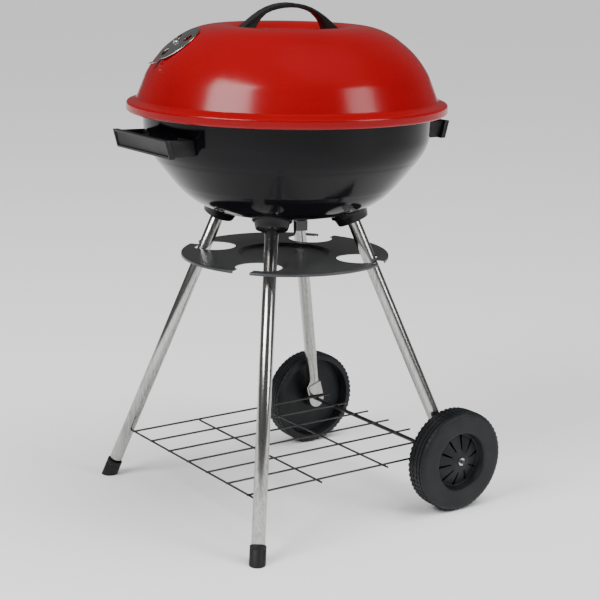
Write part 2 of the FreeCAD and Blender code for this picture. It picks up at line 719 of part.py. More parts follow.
def build():
    front_socket = leg_socket(True)
    rear_socket = leg_socket(False)
    grip = side_handle()
    return {
        "bowl": bowl(),
        "bowl_vent_disc": bowl_vent_disc(),
        "bowl_vent_rivet": bowl_vent_rivet(),
        "socket_foot_right": front_socket,
        "socket_foot_left": mirrored_x(front_socket),
        "socket_wheel_right": rear_socket,
        "socket_wheel_left": mirrored_x(rear_socket),
        "socket_bolts": socket_bolts(),
        "foot_leg_right": foot_leg(),
        "foot_leg_left": mirrored_x(foot_leg()),
        "wheel_leg_right": wheel_leg(),
        "wheel_leg_left": mirrored_x(wheel_leg()),
        "foot_cap_right": foot_cap(),
        "foot_cap_left": mirrored_x(foot_cap()),
        "axle": axle(),
        "axle_clips": axle_clips(),
        "axle_washers": axle_washers(),
        "wheel_right": wheel(),
        "wheel_left": mirrored_x(wheel()),
        "bottom_rack": bottom_rack(),
        "ash_tray": ash_tray(),
        "cooking_grate": cooking_grate(),
        "charcoal_grate": charcoal_grate(),
        "grate_rests": grate_rests(),
        "coal_rests": coal_rests(),
        "lid": lid(),
        "lid_vent_disc": lid_vent_disc(),
        "lid_vent_rivet": lid_vent_rivet(),
        "lid_handle": lid_handle(),
        "lid_handle_screws": lid_handle_screws(),
        "side_handle_foot_side": grip,
        "side_handle_wheel_side": turned(grip, 180),
        "side_handle_bolts": side_handle_bolts(),
        "side_handle_nuts": side_handle_nuts(),
    }


os.makedirs("parts", exist_ok=True)
for name, shape in build().items():
    shape.translate(V(0, -GROUND_SHIFT, 0))
    box = shape.optimalBoundingBox(False)
    state = "ok" if shape.isValid() and shape.Solids else "BAD"
    print(f"{name:24s} {state} solids {len(shape.Solids)} volume {shape.Volume:10.0f} "
          f"x {box.XMin:.1f}..{box.XMax:.1f} y {box.YMin:.1f}..{box.YMax:.1f} z {box.ZMin:.1f}..{box.ZMax:.1f}")
    shape.exportStep(f"parts/{name}.step")
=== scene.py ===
"""Looks of a kettle charcoal grill, in metres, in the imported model's frame.

Sizes in the classes are millimetres measured from the kettle's own upright axis, as a maker's drawing
gives them, and become metres in the frame when a mesh is made.
"""
import logging
import math
from dataclasses import dataclass, field
from enum import Enum
from typing import Any, Sequence

import bmesh
import bpy
from mathutils import Matrix, Vector


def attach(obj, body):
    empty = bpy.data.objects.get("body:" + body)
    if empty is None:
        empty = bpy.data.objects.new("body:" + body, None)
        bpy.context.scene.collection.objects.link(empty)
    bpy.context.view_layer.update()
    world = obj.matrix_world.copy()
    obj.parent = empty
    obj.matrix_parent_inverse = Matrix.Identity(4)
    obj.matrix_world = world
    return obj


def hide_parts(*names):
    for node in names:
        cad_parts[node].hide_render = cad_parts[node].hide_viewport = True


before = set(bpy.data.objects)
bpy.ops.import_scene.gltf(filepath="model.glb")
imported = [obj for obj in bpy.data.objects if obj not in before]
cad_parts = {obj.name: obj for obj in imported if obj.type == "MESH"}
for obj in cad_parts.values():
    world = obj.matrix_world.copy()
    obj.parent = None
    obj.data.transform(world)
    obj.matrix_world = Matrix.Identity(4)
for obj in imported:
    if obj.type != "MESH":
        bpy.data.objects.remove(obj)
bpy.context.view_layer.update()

MM = 0.001
AXIS_Y = -7.0
Point = tuple[float, float]
Triple = tuple[float, float, float]
log = logging.getLogger("kettle_grill")


class Body(Enum):
    """The moving bodies of the frame that a piece can ride on."""

    STAND = "stand"
    LID = "lid"
    LID_VENT = "lid_vent"
    BOWL_VENT = "bowl_vent"
    TRAY = "tray"
    COOKING_GRATE = "cooking_grate"
    CHARCOAL_GRATE = "charcoal_grate"
    WHEEL_RIGHT = "wheel_right"
    WHEEL_LEFT = "wheel_left"


class End(Enum):
    """Which pair of legs a stand part belongs to."""

    FOOT = -1
    WHEEL = 1


# ------------------------------------------------------------------ shader graphs

class Value:
    """A shader socket that works in arithmetic, where each operator adds one Math node."""

    def __init__(self, tree: bpy.types.NodeTree, socket: bpy.types.NodeSocket) -> None:
        """Wraps one output socket of a tree."""
        self.tree = tree
        self.socket = socket

    def _math(self, operation: str, first: Any, second: Any) -> "Value":
        """Adds a Math node.

        Args:
            operation: the node's operation.
            first: a number or a Value.
            second: a number or a Value.

        Returns:
            The node's result.
        """
        node = self.tree.nodes.new("ShaderNodeMath")
        node.operation = operation
        for slot, given in zip(node.inputs, (first, second)):
            if isinstance(given, Value):
                self.tree.links.new(given.socket, slot)
            else:
                slot.default_value = given
        return Value(self.tree, node.outputs[0])

    def __add__(self, other: Any) -> "Value":
        """The sum."""
        return self._math("ADD", self, other)

    def __radd__(self, other: Any) -> "Value":
        """The sum, reflected."""
        return self._math("ADD", other, self)

    def __mul__(self, other: Any) -> "Value":
        """The product."""
        return self._math("MULTIPLY", self, other)

    def __rmul__(self, other: Any) -> "Value":
        """The product, reflected."""
        return self._math("MULTIPLY", other, self)


class Graph:
    """A node tree that takes new nodes in one call."""

    tree: bpy.types.NodeTree

    def add(self, kind: str, settings: dict[str, Any] | None = None,
            inputs: dict[Any, Any] | None = None) -> bpy.types.Node:
        """Adds any node.

        Args:
            kind: the node's type.
            settings: its properties, set before the sockets.
            inputs: values or links for its sockets, by name or number.

        Returns:
            The new node.
        """
        node = self.tree.nodes.new(kind)
        for key, given in (settings or {}).items():
            setattr(node, key, given)
        for key, given in (inputs or {}).items():
            self.join(given, node.inputs[key])
        return node

    def join(self, given: Any, slot: bpy.types.NodeSocket) -> None:
        """Links a socket or Value to a slot, or sets the slot to a plain value."""
        if isinstance(given, Value):
            given = given.socket
        if isinstance(given, bpy.types.NodeSocket):
            self.tree.links.new(given, slot)
        else:
            slot.default_value = given


class ShaderGraph(Graph):
    """Builds one material around a Principled shader."""

    def __init__(self, name: str) -> None:
        """Starts an empty material with its shader and output."""
        self.material = bpy.data.materials.new(name)
        self.material.use_nodes = True
        self.tree = self.material.node_tree
        self.tree.nodes.clear()
        self.shader = self.add("ShaderNodeBsdfPrincipled")
        self.add("ShaderNodeOutputMaterial", {}, {"Surface": self.shader.outputs["BSDF"]})
        self.here = self.add("ShaderNodeTexCoord").outputs["Object"]

    def value(self, socket: bpy.types.NodeSocket) -> Value:
        """Wraps a socket of this tree for arithmetic."""
        return Value(self.tree, socket)

    def stretched(self, scale: Sequence[float], turn: Sequence[float] = (0, 0, 0)) -> bpy.types.NodeSocket:
        """Object coordinates, scaled unevenly and turned."""
        return self.add("ShaderNodeMapping", {}, {"Vector": self.here, "Scale": tuple(scale),
                                                  "Rotation": tuple(turn)}).outputs[0]

    def noise(self, scale: float, detail: float = 3.0, where: bpy.types.NodeSocket | None = None) -> Value:
        """Soft noise between 0 and 1.

        Args:
            scale: cells in a metre.
            detail: octaves.
            where: coordinates, Object when left out.

        Returns:
            The noise value.
        """
        node = self.add("ShaderNodeTexNoise", {"noise_dimensions": "3D"},
                        {"Vector": where or self.here, "Scale": scale, "Detail": detail})
        return self.value(node.outputs[0])

    def cells(self, scale: float) -> Value:
        """Distance to the nearest cell point."""
        node = self.add("ShaderNodeTexVoronoi", {"feature": "F1"}, {"Vector": self.here, "Scale": scale})
        return self.value(node.outputs["Distance"])

    def ramp(self, value: Value, low: float, high: float) -> Value:
        """Maps low..high smoothly to 0..1, held at both ends."""
        node = self.add("ShaderNodeMapRange", {"interpolation_type": "SMOOTHSTEP"},
                        {0: value, 1: low, 2: high, 3: 0.0, 4: 1.0})
        return self.value(node.outputs[0])

    def mixed(self, factor: Value, a: Sequence[float], b: Sequence[float]) -> bpy.types.NodeSocket:
        """A colour between a and b."""
        return self.add("ShaderNodeMix", {"data_type": "RGBA"}, {0: factor, 6: (*a, 1.0), 7: (*b, 1.0)}).outputs[2]

    def bump(self, height: Value, strength: float, depth: float) -> None:
        """Feeds a height to the shader's normal.

        Args:
            height: the height pattern.
            strength: from 0 to 1.
            depth: the pattern's depth in metres.
        """
        node = self.add("ShaderNodeBump", {}, {"Strength": strength, "Distance": depth, "Height": height})
        self.tree.links.new(node.outputs[0], self.shader.inputs["Normal"])

    def feed(self, **sockets: Any) -> None:
        """Sets or links the shader's own sockets; an underscore stands for a space."""
        for key, given in sockets.items():
            self.join(given, self.shader.inputs[key.replace("_", " ").title().replace("Ior", "IOR")])


# ------------------------------------------------------------------ finishes

@dataclass(frozen=True)
class Enamel:
    """Baked glossy enamel over sheet steel, with a faint orange-peel surface."""

    name: str
    colour: Triple
    deep: Triple
    roughness: float = 0.13
    peel: float = 0.10
    coat: float = 0.0
    shine: float = 0.4

    def make(self) -> bpy.types.Material:
        """Builds the material."""
        g = ShaderGraph(self.name)
        broad = g.noise(5.0, 2.0)
        dust = g.ramp(g.noise(900.0, 2.0), 0.66, 0.78)
        haze = g.noise(28.0, 4.0)
        g.feed(base_color=g.mixed(g.ramp(broad, 0.3, 0.7), self.deep, self.colour),
               roughness=haze * 0.07 + (self.roughness - 0.035) + dust * 0.10,
               coat_weight=self.coat, coat_roughness=0.06, specular_ior_level=self.shine)
        g.bump(g.noise(420.0, 1.0) * 0.7 + g.noise(90.0, 1.0) * 0.3, self.peel, 0.0004)
        return g.material


@dataclass(frozen=True)
class DrawnSteel:
    """Polished stainless tube with fine draw lines along it, and lengthwise bright and dark bands painted into its
    colour as painted reflection streaks.
    """

    name: str
    bright: Triple
    dull_and_painted_dark_streak: Triple
    roughness: float = 0.2

    def make(self) -> bpy.types.Material:
        """Builds the material."""
        g = ShaderGraph(self.name)
        lines = g.noise(1.0, 4.0, g.stretched((420.0, 420.0, 5.0)))
        smudge = g.ramp(g.noise(9.0, 2.0), 0.45, 0.8)
        # The colour mix is partly real (draw lines and smudges) and partly painted reflection: the lengthwise bright
        # and dark bands stand in for highlights and dark surroundings mirrored in the polished tube.
        g.feed(base_color=g.mixed(g.ramp(lines * 0.8 + smudge * 0.2, 0.3, 0.72), self.bright, self.dull_and_painted_dark_streak),
               metallic=1.0, roughness=lines * 0.12 + smudge * 0.09 + self.roughness)
        g.bump(lines, 0.12, 0.0002)
        return g.material


@dataclass(frozen=True)
class Moulded:
    """Moulded plastic with a spark-eroded grain and rubbed high spots."""

    name: str
    colour: Triple
    rubbed: Triple
    roughness: float = 0.5
    grain: float = 1400.0
    relief: float = 0.25

    def make(self) -> bpy.types.Material:
        """Builds the material."""
        g = ShaderGraph(self.name)
        grain = g.cells(self.grain)
        flow = g.noise(35.0, 4.0)
        g.feed(base_color=g.mixed(g.ramp(flow + grain * 0.2, 0.4, 0.85), self.colour, self.rubbed),
               roughness=flow * 0.16 + grain * 0.08 + (self.roughness - 0.1),
               specular_ior_level=0.24)
        g.bump(grain, self.relief, 0.00025)
        return g.material


@dataclass(frozen=True)
class Coated:
    """Heat-proof paint or dip coating on wire and sheet, slightly uneven and chalky in places."""

    name: str
    colour: Triple
    chalk: Triple
    roughness: float = 0.36
    relief: float = 0.2

    def make(self) -> bpy.types.Material:
        """Builds the material."""
        g = ShaderGraph(self.name)
        cloud = g.noise(26.0, 4.0)
        fleck = g.noise(1100.0, 2.0)
        g.feed(base_color=g.mixed(g.ramp(cloud * 0.8 + fleck * 0.25, 0.38, 0.75), self.colour, self.chalk),
               roughness=cloud * 0.16 + fleck * 0.05 + (self.roughness - 0.1), coat_weight=0.12,
               coat_roughness=0.25)
        g.bump(fleck * 0.5 + g.noise(260.0, 2.0) * 0.5, self.relief, 0.0003)
        return g.material


@dataclass(frozen=True)
class Plated:
    """Zinc or chrome plate, with a spangle of crystals and small scuffs."""

    name: str
    bright: Triple
    grey: Triple
    roughness: float = 0.24
    spangle: float = 160.0

    def make(self) -> bpy.types.Material:
        """Builds the material."""
        g = ShaderGraph(self.name)
        crystal = g.add("ShaderNodeTexVoronoi", {}, {"Vector": g.here, "Scale": self.spangle})
        tone = g.value(g.add("ShaderNodeSeparateColor", {}, {0: crystal.outputs["Color"]}).outputs[0])
        scuff = g.ramp(g.noise(1.0, 3.0, g.stretched((240.0, 900.0, 240.0), (0.3, 0.5, 0.4))), 0.55, 0.75)
        g.feed(base_color=g.mixed(tone * 0.7 + scuff * 0.3, self.bright, self.grey),
               metallic=1.0, roughness=tone * 0.12 + scuff * 0.12 + self.roughness)
        g.bump(tone * 0.4 + scuff * 0.4, 0.12, 0.00015)
        return g.material


@dataclass(frozen=True)
class Finishes:
    """All finishes of the grill, by use."""

    lid: bpy.types.Material
    bowl: bpy.types.Material
    leg: bpy.types.Material
    handle: bpy.types.Material
    handle_top_grain_and_sheen: bpy.types.Material
    socket: bpy.types.Material
    cap: bpy.types.Material
    wheel: bpy.types.Material
    wire: bpy.types.Material
    tray: bpy.types.Material
    zinc: bpy.types.Material
    grate: bpy.types.Material

    @staticmethod
    def make() -> "Finishes":
        """Builds every finish once."""
        return Finishes(
            lid=Enamel("red_enamel", (0.25, 0.0005, 0.003), (0.215, 0.0004, 0.0026), 0.2, 0.08, 0.0, 0.26).make(),
            bowl=Enamel("black_enamel", (0.004, 0.004, 0.005), (0.002, 0.002, 0.003), 0.11, 0.06, 0.0, 0.14).make(),
            # The leg's two colours are the light and dark ends of its painted reflection streaks, over real draw
            # lines.
            leg=DrawnSteel("leg_steel", (0.46, 0.455, 0.445), (0.27, 0.266, 0.26), 0.11).make(),
            handle=Moulded("handle_plastic", (0.005, 0.005, 0.0055), (0.010, 0.010, 0.011), 0.4).make(),
            # The top strip's lighter greys are painted sheen on the handle's upward face; its coarser grain is real.
            handle_top_grain_and_sheen=Moulded("handle_strip_grain", (0.010, 0.010, 0.0105), (0.028, 0.028, 0.029), 0.48,
                                 900.0, 0.7).make(),
            socket=Moulded("socket_plastic", (0.004, 0.004, 0.0045), (0.008, 0.008, 0.009), 0.3, 1200.0, 0.1).make(),
            cap=Moulded("cap_plastic", (0.006, 0.006, 0.0065), (0.013, 0.013, 0.014), 0.5).make(),
            wheel=Moulded("wheel_plastic", (0.006, 0.0065, 0.0075), (0.012, 0.013, 0.015), 0.46, 1100.0, 0.3).make(),
            wire=Coated("wire_coating", (0.004, 0.004, 0.004), (0.009, 0.009, 0.009), 0.42).make(),
            tray=Coated("tray_paint", (0.030, 0.031, 0.033), (0.042, 0.043, 0.045), 0.34, 0.1).make(),
            zinc=Plated("bright_zinc", (0.60, 0.60, 0.58), (0.40, 0.40, 0.39)).make(),
            grate=Plated("grate_plate", (0.66, 0.66, 0.64), (0.50, 0.50, 0.49), 0.28, 300.0).make(),
        )


# ------------------------------------------------------------------ mesh building

def at(x: float, y: float, z: float) -> Vector:
    """A point in the frame, in metres, from millimetres about the kettle's axis."""
    return Vector((x * MM, (y + AXIS_Y) * MM, z * MM))


def polar(radius: float, degrees: float, z: float = 0.0) -> Triple:
    """A point at a radius and direction about the kettle's axis, in millimetres."""
    a = math.radians(degrees)
    return radius * math.cos(a), radius * math.sin(a), z


def arc(a: Point, mid: Point, b: Point, steps: int) -> list[Point]:
    """Points on the arc from a through mid to b, without a itself.

    Args:
        a: start.
        mid: a point on the way.
        b: end.
        steps: how many points.

    Returns:
        The points, of which the last is b.
    """
    ax, ay, bx, by, cx, cy = *a, *mid, *b
    d = 2 * (ax * (by - cy) + bx * (cy - ay) + cx * (ay - by))
    ux = ((ax * ax + ay * ay) * (by - cy) + (bx * bx + by * by) * (cy - ay) + (cx * cx + cy * cy) * (ay - by)) / d
    uy = ((ax * ax + ay * ay) * (cx - bx) + (bx * bx + by * by) * (ax - cx) + (cx * cx + cy * cy) * (bx - ax)) / d
    r = math.hypot(ax - ux, ay - uy)
    t0, tm, t1 = (math.atan2(y - uy, x - ux) for x, y in (a, mid, b))
    sweep = (t1 - t0) % math.tau
    if (tm - t0) % math.tau > sweep:
        sweep -= math.tau
    return [(ux + r * math.cos(t0 + sweep * k / steps), uy + r * math.sin(t0 + sweep * k / steps))
            for k in range(1, steps + 1)]


def straight(a: Point, b: Point, steps: int) -> list[Point]:
    """Evenly spaced points from a to b, without a itself."""
    return [(a[0] + (b[0] - a[0]) * k / steps, a[1] + (b[1] - a[1]) * k / steps) for k in range(1, steps + 1)]


def walled(outer: list[Point], wall: float) -> list[Point]:
    """The closed section of a sheet: an outline and its inner side, joined by a rounded edge.

    Args:
        outer: the outline from the rim to the axis.
        wall: the sheet's thickness, towards the left of the way along the outline.

    Returns:
        The section from the inner pole round to the outer pole.
    """
    inner = []
    for k, (x, y) in enumerate(outer):
        x0, y0 = outer[max(k - 1, 0)]
        x1, y1 = outer[min(k + 1, len(outer) - 1)]
        length = math.hypot(x1 - x0, y1 - y0)
        inner.append((max(0.0, x - (y1 - y0) / length * wall), y + (x1 - x0) / length * wall))
    inner[-1] = (0.0, inner[-1][1])
    a, b = inner[0], outer[0]
    nx, ny = outer[0][0] - outer[1][0], outer[0][1] - outer[1][1]
    n = math.hypot(nx, ny)
    mid = ((a[0] + b[0]) / 2 + nx / n * wall / 2, (a[1] + b[1]) / 2 + ny / n * wall / 2)
    return inner[::-1] + arc(a, mid, b, 4)[:-1] + outer


def shown(name: str, data: bpy.types.ID) -> bpy.types.Object:
    """A new object with its data, linked into the scene."""
    made = bpy.data.objects.new(name, data)
    bpy.context.scene.collection.objects.link(made)
    return made


def build(name: str, verts: list[Any], faces: list[Any], material: bpy.types.Material,
          crease: float = 35.0) -> bpy.types.Object:
    """Makes an object from points and faces, with normals pointing out.

    Args:
        name: the object's name.
        verts: points in metres, in the frame.
        faces: tuples of point numbers.
        material: its finish.
        crease: angle in degrees past which an edge stays sharp.

    Returns:
        The new object.
    """
    mesh = bpy.data.meshes.new(name)
    mesh.from_pydata([tuple(v) for v in verts], [], faces)
    mesh.update()
    work = bmesh.new()
    work.from_mesh(mesh)
    bmesh.ops.recalc_face_normals(work, faces=work.faces)
    work.to_mesh(mesh)
    work.free()
    mesh.materials.append(material)
    made = shown(name, mesh)
    smooth(made, crease)
    return made


def smooth(piece: bpy.types.Object, crease: float = 35.0) -> None:
    """Shades a piece smooth, with edges sharper than the crease angle left sharp."""
    piece.data.shade_smooth()
    piece.data.set_sharp_from_angle(angle=math.radians(crease))


def lathe(name: str, section: list[Point], material: bpy.types.Material, place: Matrix | None = None,
          steps: int = 96, crease: float = 35.0) -> bpy.types.Object:
    """Spins a closed section into a solid. Points at radius 0 become poles.

    Args:
        name: the object's name.
        section: (radius, height) points in millimetres; the last joins the first unless both are poles.
        material: its finish.
        place: where the section's axis goes, in millimetres about the kettle's axis.
        steps: divisions round.
        crease: crease angle in degrees.

    Returns:
        The new object.
    """
    place = place or Matrix.Identity(4)
    verts: list[Vector] = []
    rings: list[list[int]] = []
    for r, z in section:
        start = len(verts)
        count = 1 if r < 1e-6 else steps
        for k in range(count):
            a = math.tau * k / steps
            p = place @ Vector((r * math.cos(a), r * math.sin(a), z))
            verts.append(at(*p))
        rings.append(list(range(start, start + count)))
    pairs = list(zip(rings, rings[1:]))
    if len(rings[0]) > 1 or len(rings[-1]) > 1:
        pairs.append((rings[-1], rings[0]))
    faces: list[tuple[int, ...]] = []
    for a_ring, b_ring in pairs:
        for k in range(steps):
            n = (k + 1) % steps
            if len(a_ring) == 1 and len(b_ring) == 1:
                break
            if len(a_ring) == 1:
                faces.append((a_ring[0], b_ring[k], b_ring[n]))
            elif len(b_ring) == 1:
                faces.append((a_ring[k], a_ring[n], b_ring[0]))
            else:
                faces.append((a_ring[k], a_ring[n], b_ring[n], b_ring[k]))
    return build(name, verts, faces, material, crease)


def loft(name: str, sections: list[list[Vector]], material: bpy.types.Material,
         crease: float = 35.0) -> bpy.types.Object:
    """Joins closed sections of equally many points into a solid with filled ends."""
    count = len(sections[0])
    verts = [at(*p) for s in sections for p in s]
    faces: list[tuple[int, ...]] = [tuple(range(count))[::-1],
                                    tuple(range(len(verts) - count, len(verts)))]
    for s in range(len(sections) - 1):
        for k in range(count):
            n = (k + 1) % count
            faces.append((s * count + k, s * count + n, (s + 1) * count + n, (s + 1) * count + k))
    return build(name, verts, faces, material, crease)


def settle(piece: bpy.types.Object) -> None:
    """Applies a piece's modifiers to its mesh and removes them."""
    bpy.context.view_layer.update()
    graph = bpy.context.evaluated_depsgraph_get()
    mesh = bpy.data.meshes.new_from_object(piece.evaluated_get(graph))
    piece.modifiers.clear()
    piece.data = mesh


def soften(piece: bpy.types.Object, width: float, segments: int = 2, crease: float = 35.0) -> None:
    """Rounds a piece's sharp edges by a width in millimetres."""
    bevel = piece.modifiers.new("rounding", "BEVEL")
    bevel.width = width * MM
    bevel.segments = segments
    bevel.limit_method = "ANGLE"
    bevel.angle_limit = math.radians(32)
    bevel.use_clamp_overlap = True
    settle(piece)
    smooth(piece, crease)


def carve(piece: bpy.types.Object, cutters: list[bpy.types.Object], crease: float = 35.0) -> None:
    """Cuts other solids out of a piece and removes them."""
    tool = merged(cutters)
    cut = piece.modifiers.new("cut", "BOOLEAN")
    cut.operation = "DIFFERENCE"
    cut.solver = "EXACT"
    cut.object = tool
    settle(piece)
    bpy.data.objects.remove(tool)
    keep = piece.data.materials[0]
    piece.data.materials.clear()
    piece.data.materials.append(keep)
    smooth(piece, crease)


def round_hole(radius: float, depth: float, place: Matrix, material: bpy.types.Material,
               steps: int = 40) -> bpy.types.Object:
    """A cutter for a round hole, from its placement's origin up by a depth in millimetres."""
    return lathe("hole", [(0.0, 0.0), (radius, 0.0), (radius, depth), (0.0, depth)], material, place, steps)


def merged(parts: list[bpy.types.Object]) -> bpy.types.Object:
    """Gathers several objects into the first one's mesh.

    Args:
        parts: the objects; all but the first are removed. Their materials are kept.

    Returns:
        The first object.
    """
    first = parts[0]
    if len(parts) == 1:
        return first
    names = [m.name for m in first.data.materials]
    work = bmesh.new()
    for part in parts:
        mine = [m.name for m in part.data.materials]
        for material in part.data.materials:
            if material.name not in names:
                names.append(material.name)
                first.data.materials.append(material)
        before = len(work.faces)
        work.from_mesh(part.data)
        work.faces.ensure_lookup_table()
        for face in work.faces[before:]:
            face.material_index = names.index(mine[min(face.material_index, len(mine) - 1)])
    work.to_mesh(first.data)
    work.free()
    for part in parts[1:]:
        bpy.data.objects.remove(part)
    return first


def prism(name: str, outline: list[Triple], along: Triple,
          material: bpy.types.Material) -> bpy.types.Object:
    """Pushes a flat outline of points, in millimetres, along a vector."""
    shift = Vector(along)
    return loft(name, [[Vector(p) for p in outline], [Vector(p) + shift for p in outline]], material)


def axis_place(origin: Vector, direction: Vector) -> Matrix:
    """The placement that puts a section's axis at a point, along a direction."""
    turn = Vector((0, 0, 1)).rotation_difference(direction.normalized())
    return Matrix.Translation(origin) @ turn.to_matrix().to_4x4()


def install(piece: bpy.types.Object, body: Body, slot: str, *nodes: str) -> bpy.types.Object:
    """Puts a finished piece on its body, in place of its CAD nodes.

    Args:
        piece: the piece, with its place in its mesh.
        body: the body it rides on.
        slot: the record's material slot; not used.
        nodes: the CAD nodes it stands for.

    Returns:
        The same piece.
    """
    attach(piece, body.value)
    if nodes:
        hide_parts(*nodes)
    log.info("%-26s %6d faces on %s", piece.name, len(piece.data.polygons), body.value)
    return piece


def reworked(node: str, name: str, material: bpy.types.Material, crease: float = 30.0) -> bpy.types.Object:
    """A smooth-shaded copy of a CAD node's solid, with its loose triangles joined up.

    Args:
        node: the CAD node.
        name: the new piece's name.
        material: its finish.
        crease: crease angle in degrees.

    Returns:
        The copy.
    """
    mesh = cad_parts[node].data.copy()
    mesh.materials.clear()
    mesh.materials.append(material)
    work = bmesh.new()
    work.from_mesh(mesh)
    bmesh.ops.remove_doubles(work, verts=work.verts, dist=1e-6)
    work.to_mesh(mesh)
    work.free()
    if "custom_normal" in mesh.attributes:
        mesh.attributes.remove(mesh.attributes["custom_normal"])
    made = shown(name, mesh)
    smooth(made, crease)
    return made


# ------------------------------------------------------------------ node-built repeats

class Repeater(Graph):
    """One Geometry Nodes tree with named inputs, applied to a piece and turned into plain mesh."""

    def __init__(self, name: str, inputs: dict[str, tuple[str, Any]]) -> None:
        """Starts a tree.

        Args:
            name: the tree's name.
            inputs: socket type and default value by input name.
        """
        self.tree = bpy.data.node_groups.new(name, "GeometryNodeTree")
        face = self.tree.interface
        face.new_socket("Geometry", in_out="INPUT", socket_type="NodeSocketGeometry")
        face.new_socket("Geometry", in_out="OUTPUT", socket_type="NodeSocketGeometry")
        self.keys: dict[str, str] = {}
        for key, (kind, default) in inputs.items():
            socket = face.new_socket(key, in_out="INPUT", socket_type=kind)
            if default is not None:
                socket.default_value = default
            self.keys[key] = socket.identifier
        self.source = self.add("NodeGroupInput")
        self.sink = self.add("NodeGroupOutput")

    def given(self, key: str) -> bpy.types.NodeSocket:
        """One of the tree's own inputs."""
        return self.source.outputs[key]

    def close(self, geometry: bpy.types.NodeSocket) -> None:
        """Ends the tree in Realize Instances and Set Material."""
        shade = self.add("GeometryNodeSetShadeSmooth", {}, {"Geometry": geometry})
        real = self.add("GeometryNodeRealizeInstances", {}, {0: shade.outputs[0]})
        painted = self.add("GeometryNodeSetMaterial", {}, {0: real.outputs[0], "Material": self.given("Finish")})
        self.tree.links.new(painted.outputs[0], self.sink.inputs[0])

    def apply(self, piece: bpy.types.Object, crease: float = 35.0, **values: Any) -> bpy.types.Object:
        """Runs the tree on a piece.

        Args:
            piece: the object that holds the tree's source geometry.
            crease: crease angle in degrees.
            values: the tree's inputs; an underscore stands for a space.

        Returns:
            The same piece, as plain mesh.
        """
        run = piece.modifiers.new("repeat", "NODES")
        run.node_group = self.tree
        for key, given in values.items():
            run[self.keys[key.replace("_", " ")]] = given
        settle(piece)
        keep = values["Finish"]
        piece.data.materials.clear()
        piece.data.materials.append(keep)
        smooth(piece, crease)
        return piece


class WireBender(Repeater):
    """Turns chains of edges into round wire with closed ends."""

    def __init__(self) -> None:
        """Builds the tree."""
        super().__init__("wire_bender", {"Radius": ("NodeSocketFloat", 0.0015), "Sides": ("NodeSocketInt", 12),
                                         "Finish": ("NodeSocketMaterial", None)})
        curve = self.add("GeometryNodeMeshToCurve", {}, {0: self.given("Geometry")})
        ring = self.add("GeometryNodeCurvePrimitiveCircle", {}, {"Resolution": self.given("Sides"),
                                                                 "Radius": self.given("Radius")})
        tube = self.add("GeometryNodeCurveToMesh", {}, {"Curve": curve.outputs[0],
                                                        "Profile Curve": ring.outputs[0], "Fill Caps": True})
        self.close(tube.outputs[0])


class WeldBeads(Repeater):
    """Sets one small flattened weld nugget on every point."""

    def __init__(self) -> None:
        """Builds the tree."""
        super().__init__("weld_beads", {"Bead": ("NodeSocketFloat", 0.001), "Finish": ("NodeSocketMaterial", None)})
        ball = self.add("GeometryNodeMeshIcoSphere", {}, {"Radius": self.given("Bead"), "Subdivisions": 2})
        spin = self.add("FunctionNodeRandomValue", {"data_type": "FLOAT_VECTOR"},
                        {0: (0.8, 0.8, 0.55), 1: (1.3, 1.3, 0.8), "Seed": 7})
        beads = self.add("GeometryNodeInstanceOnPoints", {}, {"Points": self.given("Geometry"),
                                                              "Instance": ball.outputs[0], "Scale": spin.outputs[0]})
        self.close(beads.outputs[0])


class TreadBars(Repeater):
    """Rows of short bars round a wheel's rolling face."""

    def __init__(self) -> None:
        """Builds the tree."""
        super().__init__("tread_bars", {
            "Count": ("NodeSocketInt", 60), "Rim": ("NodeSocketFloat", 0.074), "Length": ("NodeSocketFloat", 0.004),
            "Width": ("NodeSocketFloat", 0.002), "Rise": ("NodeSocketFloat", 0.001),
            "Start": ("NodeSocketFloat", 0.0), "Finish": ("NodeSocketMaterial", None)})
        count = self.given("Count")
        circle = self.add("GeometryNodeMeshCircle", {}, {"Vertices": count, "Radius": self.given("Rim")})
        step = self.add("ShaderNodeMath", {"operation": "DIVIDE"}, {0: math.tau, 1: count})
        angle = self.add("ShaderNodeMath", {"operation": "MULTIPLY_ADD"},
                         {0: self.add("GeometryNodeInputIndex").outputs[0], 1: step.outputs[0], 2: 0.0})
        turn = self.add("ShaderNodeCombineXYZ", {}, {"Z": angle.outputs[0]})
        size = self.add("ShaderNodeCombineXYZ", {}, {"X": self.given("Rise"), "Y": self.given("Width"),
                                                     "Z": self.given("Length")})
        bar = self.add("GeometryNodeMeshCube", {}, {"Size": size.outputs[0]})
        bars = self.add("GeometryNodeInstanceOnPoints", {}, {"Points": circle.outputs[0],
                                                             "Instance": bar.outputs[0], "Rotation": turn.outputs[0]})
        shift = self.add("ShaderNodeCombineXYZ", {}, {"Z": self.given("Start")})
        moved = self.add("GeometryNodeTransform", {}, {"Geometry": bars.outputs[0], "Translation": shift.outputs[0]})
        both = self.add("GeometryNodeJoinGeometry", {}, {0: moved.outputs[0]})
        self.tree.links.new(self.given("Geometry"), both.inputs[0])
        self.close(both.outputs[0])


def chains(name: str, lines: list[list[Triple]]) -> bpy.types.Object:
    """An object of loose edges, one chain for each line of points in millimetres."""
    verts, edges = [], []
    for line in lines:
        start = len(verts)
        verts += [tuple(at(*p)) for p in line]
        edges += [(start + k, start + k + 1) for k in range(len(line) - 1)]
        if len(line) > 1 and line[0] == line[-1]:
            verts.pop()
            edges[-1] = (edges[-1][0], start)
    mesh = bpy.data.meshes.new(name)
    mesh.from_pydata(verts, edges, [])
    return shown(name, mesh)


def circle_line(radius: float, z: float, steps: int = 128) -> list[Triple]:
    """A closed round chain about the kettle's axis."""
    ring = [polar(radius, 360 * k / steps, z) for k in range(steps)]
    return ring + [ring[0]]


# ------------------------------------------------------------------ kettle

